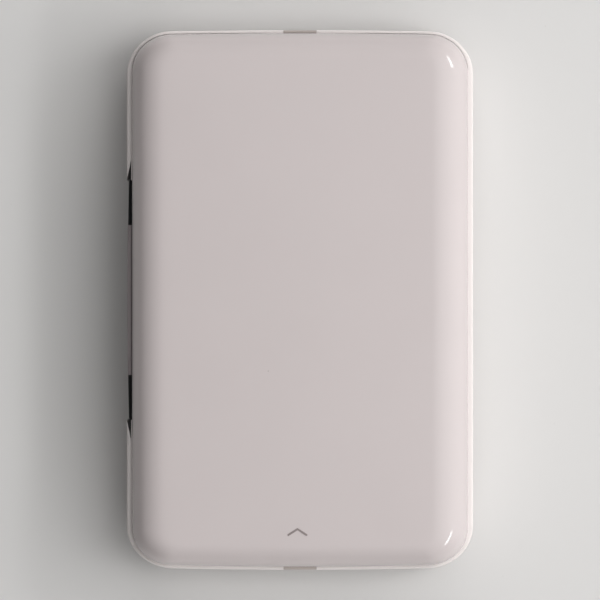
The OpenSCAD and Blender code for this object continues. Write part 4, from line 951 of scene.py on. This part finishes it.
def tyre(at, low, high, radius, bore, ribs=0):
    """A rubber tyre on a shaft along X, its ends rounded, and ribbed along its length if asked."""
    edge = 0.25
    profile = [(bore, low), (radius - edge, low), (radius - edge * 0.3, low + edge * 0.3),
               (radius, low + edge), (radius, high - edge), (radius - edge * 0.3, high - edge * 0.3),
               (radius - edge, high), (bore, high)]
    form = turned(profile, (0, *at), "x", ribs * 4 if ribs else 96)
    if ribs:
        for vert in form.verts:
            out = Vector((0, vert.co.y - at[0], vert.co.z - at[1]))
            turn = math.atan2(out.z, out.y)
            if out.length > radius - edge * 0.5:
                vert.co -= out.normalized() * RIB_DEPTH * (0.5 - 0.5 * math.cos(turn * ribs))
    return form


PLATEN = (38.0, 8.5)
PICK = (17.0021, 8.8)
PINCH = (49.0, 14.25)
RIB_DEPTH = 0.13
sleeve = solid("platen_sleeve", tyre(PLATEN, -25, 25, radius=3.5, bore=1.51))
dress(sleeve, ground_rubber, "platen", "soft_rubber", "platen_rubber")
tyres = merged(*[tyre(PICK, x - 4, x + 4, radius=3.5, bore=1.51, ribs=36) for x in (-9, 9)])
dress(solid("pick_tyre_pair", tyres), rubber, "pick", "grey_rubber", "pick_tyres")
sleeves = merged(*[tyre(PINCH, x - 9, x + 9, radius=2.0, bore=0.91) for x in (-13, 13)])
dress(solid("pinch_sleeves", sleeves), ground_rubber, "pinch", "soft_rubber", "pinch_rubber")
finish_node(turned_steel, "platen_shaft", "pick_shaft", "pinch_shaft")
knurled = metal("knurled_steel", (0.50, 0.50, 0.51), 0.4, play=0.15, lines_along=(2600, 2600, 2600),
                relief=1.0)
finish_node(knurled, "drive_roller")


# --- Gears --------------------------------------------------------------------------------------------
# Involute spur gears of natural acetal, module 0.5, moulded with their hubs.
# The driven ones are pressed on their shafts, the loose ones run on the studs.
acetal = plastic("acetal", (0.80, 0.79, 0.75), 0.4, cloud=0.02, grain_size=0.3, grain=0.04, specks=0.1)
feed(acetal.node_tree.nodes["Principled BSDF"], Subsurface_Weight=0.12, Subsurface_Scale=0.001)
finish_node(acetal, "platen_gear", "pick_gear", "drive_gear", "middle_idler", "front_idler", "reduction_gear")


# --- Print head ---------------------------------------------------------------------------------------
# A glazed ceramic plate with the heater line, bonded under a finned aluminium sink that tilts on a rod.
# Two springs under the bridge press it on the platen, and a flat ribbon feeds it.
cast = metal("sink_aluminium", (0.62, 0.63, 0.64), 0.42, play=0.07, lines_along=ALONG_X)
finish_node(cast, "head_sink")
glaze = gloss_plastic("ceramic_glaze", (0.74, 0.72, 0.66), 0.2, cloud=0.04)
finish_node(glaze, "head_ceramic")
finish_node(ivory, "head_socket")
finish_node(turned_steel, "head_pivot", "sensor_pin", "hinge_pins")
film, tree, shader = start_material("ribbon_film")
tracks = add(tree, "ShaderNodeTexWave", wave_type="BANDS", bands_direction="Y", in_Vector=where(tree),
             in_Scale=320).outputs["Fac"]
amber = add(tree, "ShaderNodeMix", data_type="RGBA", in_0=tracks, in_6=(0.36, 0.14, 0.03, 1),
            in_7=(0.55, 0.30, 0.08, 1))
feed(shader, Base_Color=amber.outputs[2], Roughness=spread(tree, tracks, 0.3, 0.22))
raise_grain(shader, tracks, 0.2)


def strap(path, low, high, thick):
    """A flat film that follows a path of (x, z) points, between two values of y."""
    rings = []
    for i, (x, z) in enumerate(path):
        before = path[max(i - 1, 0)]
        after = path[min(i + 1, len(path) - 1)]
        along = Vector((after[0] - before[0], 0, after[1] - before[1])).normalized()
        square = Vector((-along.z, 0, along.x)) * thick / 2
        rings.append([Vector((x, y, z)) + square * side
                      for side, y in ((1, low), (1, high), (-1, high), (-1, low))])
    return skin(rings)


# up from the board's socket, over in a round bend, and down on the head's socket
FILM_X = -30.4
BEND_R = 1.2
path = [(FILM_X, 6.2 + 0.94 * k) for k in range(11)]
for turn in quarter_turn(6)[1:]:
    path.append((FILM_X + BEND_R * (1 - math.cos(turn)), 16.3 + BEND_R * math.sin(turn)))
path.extend([(-28.2, 17.5), (-27.0, 17.49), (-26.1, 17.42), (-25.4, 17.27), (-24.8, 17.16), (-24.1, 17.13),
             (-22.5, 17.13)])
between = ("base", "print_head", (-0.0304, 0.0356, 0.007), (-0.0270, 0.0356, 0.0175))
dress(solid("head_film", strap(path, 32.4, 38.8, 0.2)), film, between, "amber_film", "head_ribbon")
spring_steel = metal("spring_steel", (0.50, 0.50, 0.51), 0.25, play=0.05)


def coil(spot, height, radius, gauge, turns, steps=32):
    """A compression spring that stands on a spot: close turns at both ends, open ones between."""
    path = []
    for i in range(turns * steps + 1):
        share = i / (turns * steps)
        rise = min(max((share - 0.12) / 0.76, 0), 1)
        lift = gauge * 0.75 + (height - gauge * 1.5) * rise + gauge * 0.3 * (share - 0.5)
        turn = math.tau * i / steps
        path.append(Vector(spot) + Vector((radius * math.cos(turn), radius * math.sin(turn), lift)))
    return wire(path, gauge / 2, 10)


coils = merged(*[coil((x, 41.5, 16.2), height=2.0, radius=1.5, gauge=0.35, turns=4) for x in (-16, 16)])
between = ("base", "print_head", (0, 0.0415, 0.0180), (0, 0.0415, 0.0164))
dress(solid("head_coils", coils), spring_steel, between, "steel", "head_springs")
finish_node(matt_black, "sensor_lever")


# --- Lid ----------------------------------------------------------------------------------------------
# The whole top in one moulding of polished warm-white ABS, 1.4 mm thick, its edges rolled over.
# It turns on two pins at the paper's way out, and two hooks hold it at the back.
TOP_Z = 22.0
CROWN = 0.35
ROLL_X = 7.6
ROLL_Y = 5.0
ROLL_Z = 5.8
ROLL_CORNER = 5.6
ROLL_POWER = 0.94


def lid_ring(roll, drawn=0.0, thin=0.0):
    """A ring of the lid's skin: roll runs from 0 at its edge to 90 at the flat, then it is drawn in further.

    Thin moves the ring into the lid's thickness.
    """
    turn = math.radians(roll)
    share = 1 - math.cos(turn) ** ROLL_POWER
    in_x = (ROLL_X - thin) * share + drawn
    in_y = (ROLL_Y - thin) * share + drawn
    corner = LID_CORNER - thin - (ROLL_CORNER - thin) * share + 0.5 * drawn
    drop = (ROLL_Z - thin) * (1 - math.sin(turn) ** ROLL_POWER)
    slope = CROWN * (1 - (in_x + thin - ROLL_X) / (LID_X - ROLL_X)) ** 2
    half_x = LID_X - thin - in_x
    return plan_ring(half_x, LID_Y - thin - in_y, min(corner, half_x - 0.3), TOP_Z - thin - drop - slope)


def level_ring(inset, z):
    """A ring of the lid's upright edge at one height."""
    return plan_ring(LID_X - inset, LID_Y - inset, LID_CORNER - inset, z)


ROLLS = (0, 14, 24, 33, 41, 49, 56, 63, 69, 75, 80, 85, 90)
LID_OUTER_T = 1.0
EDGE_Z = 15.44
rings = [lid_ring(90, drawn, LID_OUTER_T) for drawn in (27, 14, 4)]
rings.extend([lid_ring(roll, 0, LID_OUTER_T) for roll in reversed(ROLLS)])
for inset, z in ((LID_OUTER_T, EDGE_Z), (0.1, EDGE_Z), (0.03, EDGE_Z + 0.02), (0, EDGE_Z + 0.09)):
    rings.append(level_ring(inset, z))
rings.extend([lid_ring(roll) for roll in ROLLS])
rings.extend([lid_ring(90, drawn) for drawn in (0.6, 2, 5, 9, 14, 20, 25, 27.9)])
lid = solid("gloss_lid", skin(rings))

# knuckles, hooks, ribs and the inner skin are those of the CAD node
LID_INNER_IN = 0.8
rings = [level_ring(LID_INNER_IN, z) for z in (10, 15.5)]
rings.extend([lid_ring(roll, 0, LID_INNER_IN) for roll in ROLLS])
rings.extend([lid_ring(90, drawn, LID_INNER_IN) for drawn in (14, 27)])
inside = carve(cad_solid("lid_shell"), "INTERSECT", solid("keep", skin(rings)))
carve(lid, "UNION", inside)
lid_white = gloss_plastic("lid_white", (0.57, 0.515, 0.51), 0.07, cloud=0.012, grain=0.006, specks=0.5,
                          smear=0.05)
dress(lid, lid_white, "lid", "gloss_white", "lid_shell")

# open arrow printed near the back edge
ARROW_TIP = Vector((-0.55, -49.3))
ARROW_LINE = 0.22
arms = []
for reach in (-1.95, 1.95):
    end = ARROW_TIP + Vector((reach, -1.25))
    along = (end - ARROW_TIP).normalized()
    square = Vector((-along.y, along.x)) * ARROW_LINE
    outline = [ARROW_TIP - square - along * 0.1, ARROW_TIP + square - along * 0.1]
    for step in range(7):
        turn = math.radians(180 * step / 6)
        outline.append(end + square * math.cos(turn) + along * ARROW_LINE * math.sin(turn))
    arms.append(solid("arm", prism(outline, 21.6, 21.765)))
arrow = carve(arms[0], "UNION", arms[1])
arrow.name = "arrow_mark"
grey_ink = plastic("grey_ink", (0.255, 0.215, 0.21), 0.35, cloud=0.04, specks=0.1)
dress(arrow, grey_ink, "lid", "grey_inlay")


# --- Pressure plate -----------------------------------------------------------------------------------
# A ribbed plate of black acetal that hangs on two pins inside the lid and presses the paper on the tyres.
# Two coil springs between it and the lid's ceiling push it down.
finish_node(tray_black, "pressure_plate")
soften("pressure_plate", 0.12)
coils = merged(*[coil((x, 14.0, 14.09), height=6.51, radius=1.9, gauge=0.4, turns=5) for x in (-14, 14)])
between = ("lid", "pressure_plate", (0, 0.014, 0.0204), (0, 0.014, 0.0143))
dress(solid("plate_coils", coils), spring_steel, between, "steel", "plate_springs")
finish_node(acetal, "lid_plunger")


# --- Floor, lights and camera -------------------------------------------------------------------------
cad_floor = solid("floor", box((-1500, -1500, -20), (1500, 1500, 0)))
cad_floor.data.transform(Matrix.Scale(0.001, 4))
floor_paint = plastic("floor_paper", (0.62, 0.61, 0.60), 0.8, cloud=0.003)
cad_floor.data.materials.append(floor_paint)
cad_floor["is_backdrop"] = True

# the view is 0.13 m wide at the height of the case's rim
VIEW_HALF = 0.065
VIEW_DISTANCE = 0.9
scene = bpy.context.scene
eye = bpy.data.cameras.new("overhead")
eye.angle = 2 * math.atan(VIEW_HALF / VIEW_DISTANCE)
camera = bpy.data.objects.new("overhead", eye)
camera.location = (0, 0, VIEW_DISTANCE + RIM_Z * 0.001)
scene.collection.objects.link(camera)
scene.camera = camera
scene.view_settings.view_transform = "Standard"

world = bpy.data.worlds.new("room")
scene.world = world
world.use_nodes = True
feed(world.node_tree.nodes["Background"], Color=(1, 1, 1, 1), Strength=0.02)


def lamp(name, spot, width, height, power, mirrored=True):
    """A soft rectangular lamp that faces the object."""
    light = bpy.data.lights.new(name, "AREA")
    light.shape = "RECTANGLE"
    light.size = width
    light.size_y = height
    light.energy = power
    holder = bpy.data.objects.new(name, light)
    holder.location = spot
    holder.rotation_euler = Vector(spot).to_track_quat("Z", "Y").to_euler()
    holder.visible_glossy = mirrored
    scene.collection.objects.link(holder)


lamp("window", (0.95, 0, 0.62), 0.9, 2.6, 5.25)
lamp("near_fill", (0.36, 0, 0.45), 0.2, 0.6, 1.2, mirrored=False)
lamp("overhead_fill", (0, 0, 1.4), 0.8, 0.8, 2.1, mirrored=False)
lamp("far_side", (0.29, 1.0, 0.55), 1.4, 0.6, 8.0, mirrored=False)
lamp("near_side", (0.29, -1.0, 0.55), 1.4, 0.6, 5.7, mirrored=False)
lamp("far_strip", (0.69, 0.305, 0.56), 0.35, 0.10, 1.4)
lamp("near_strip", (0.66, -0.31, 0.60), 0.42, 0.08, 1.2)

low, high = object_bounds()
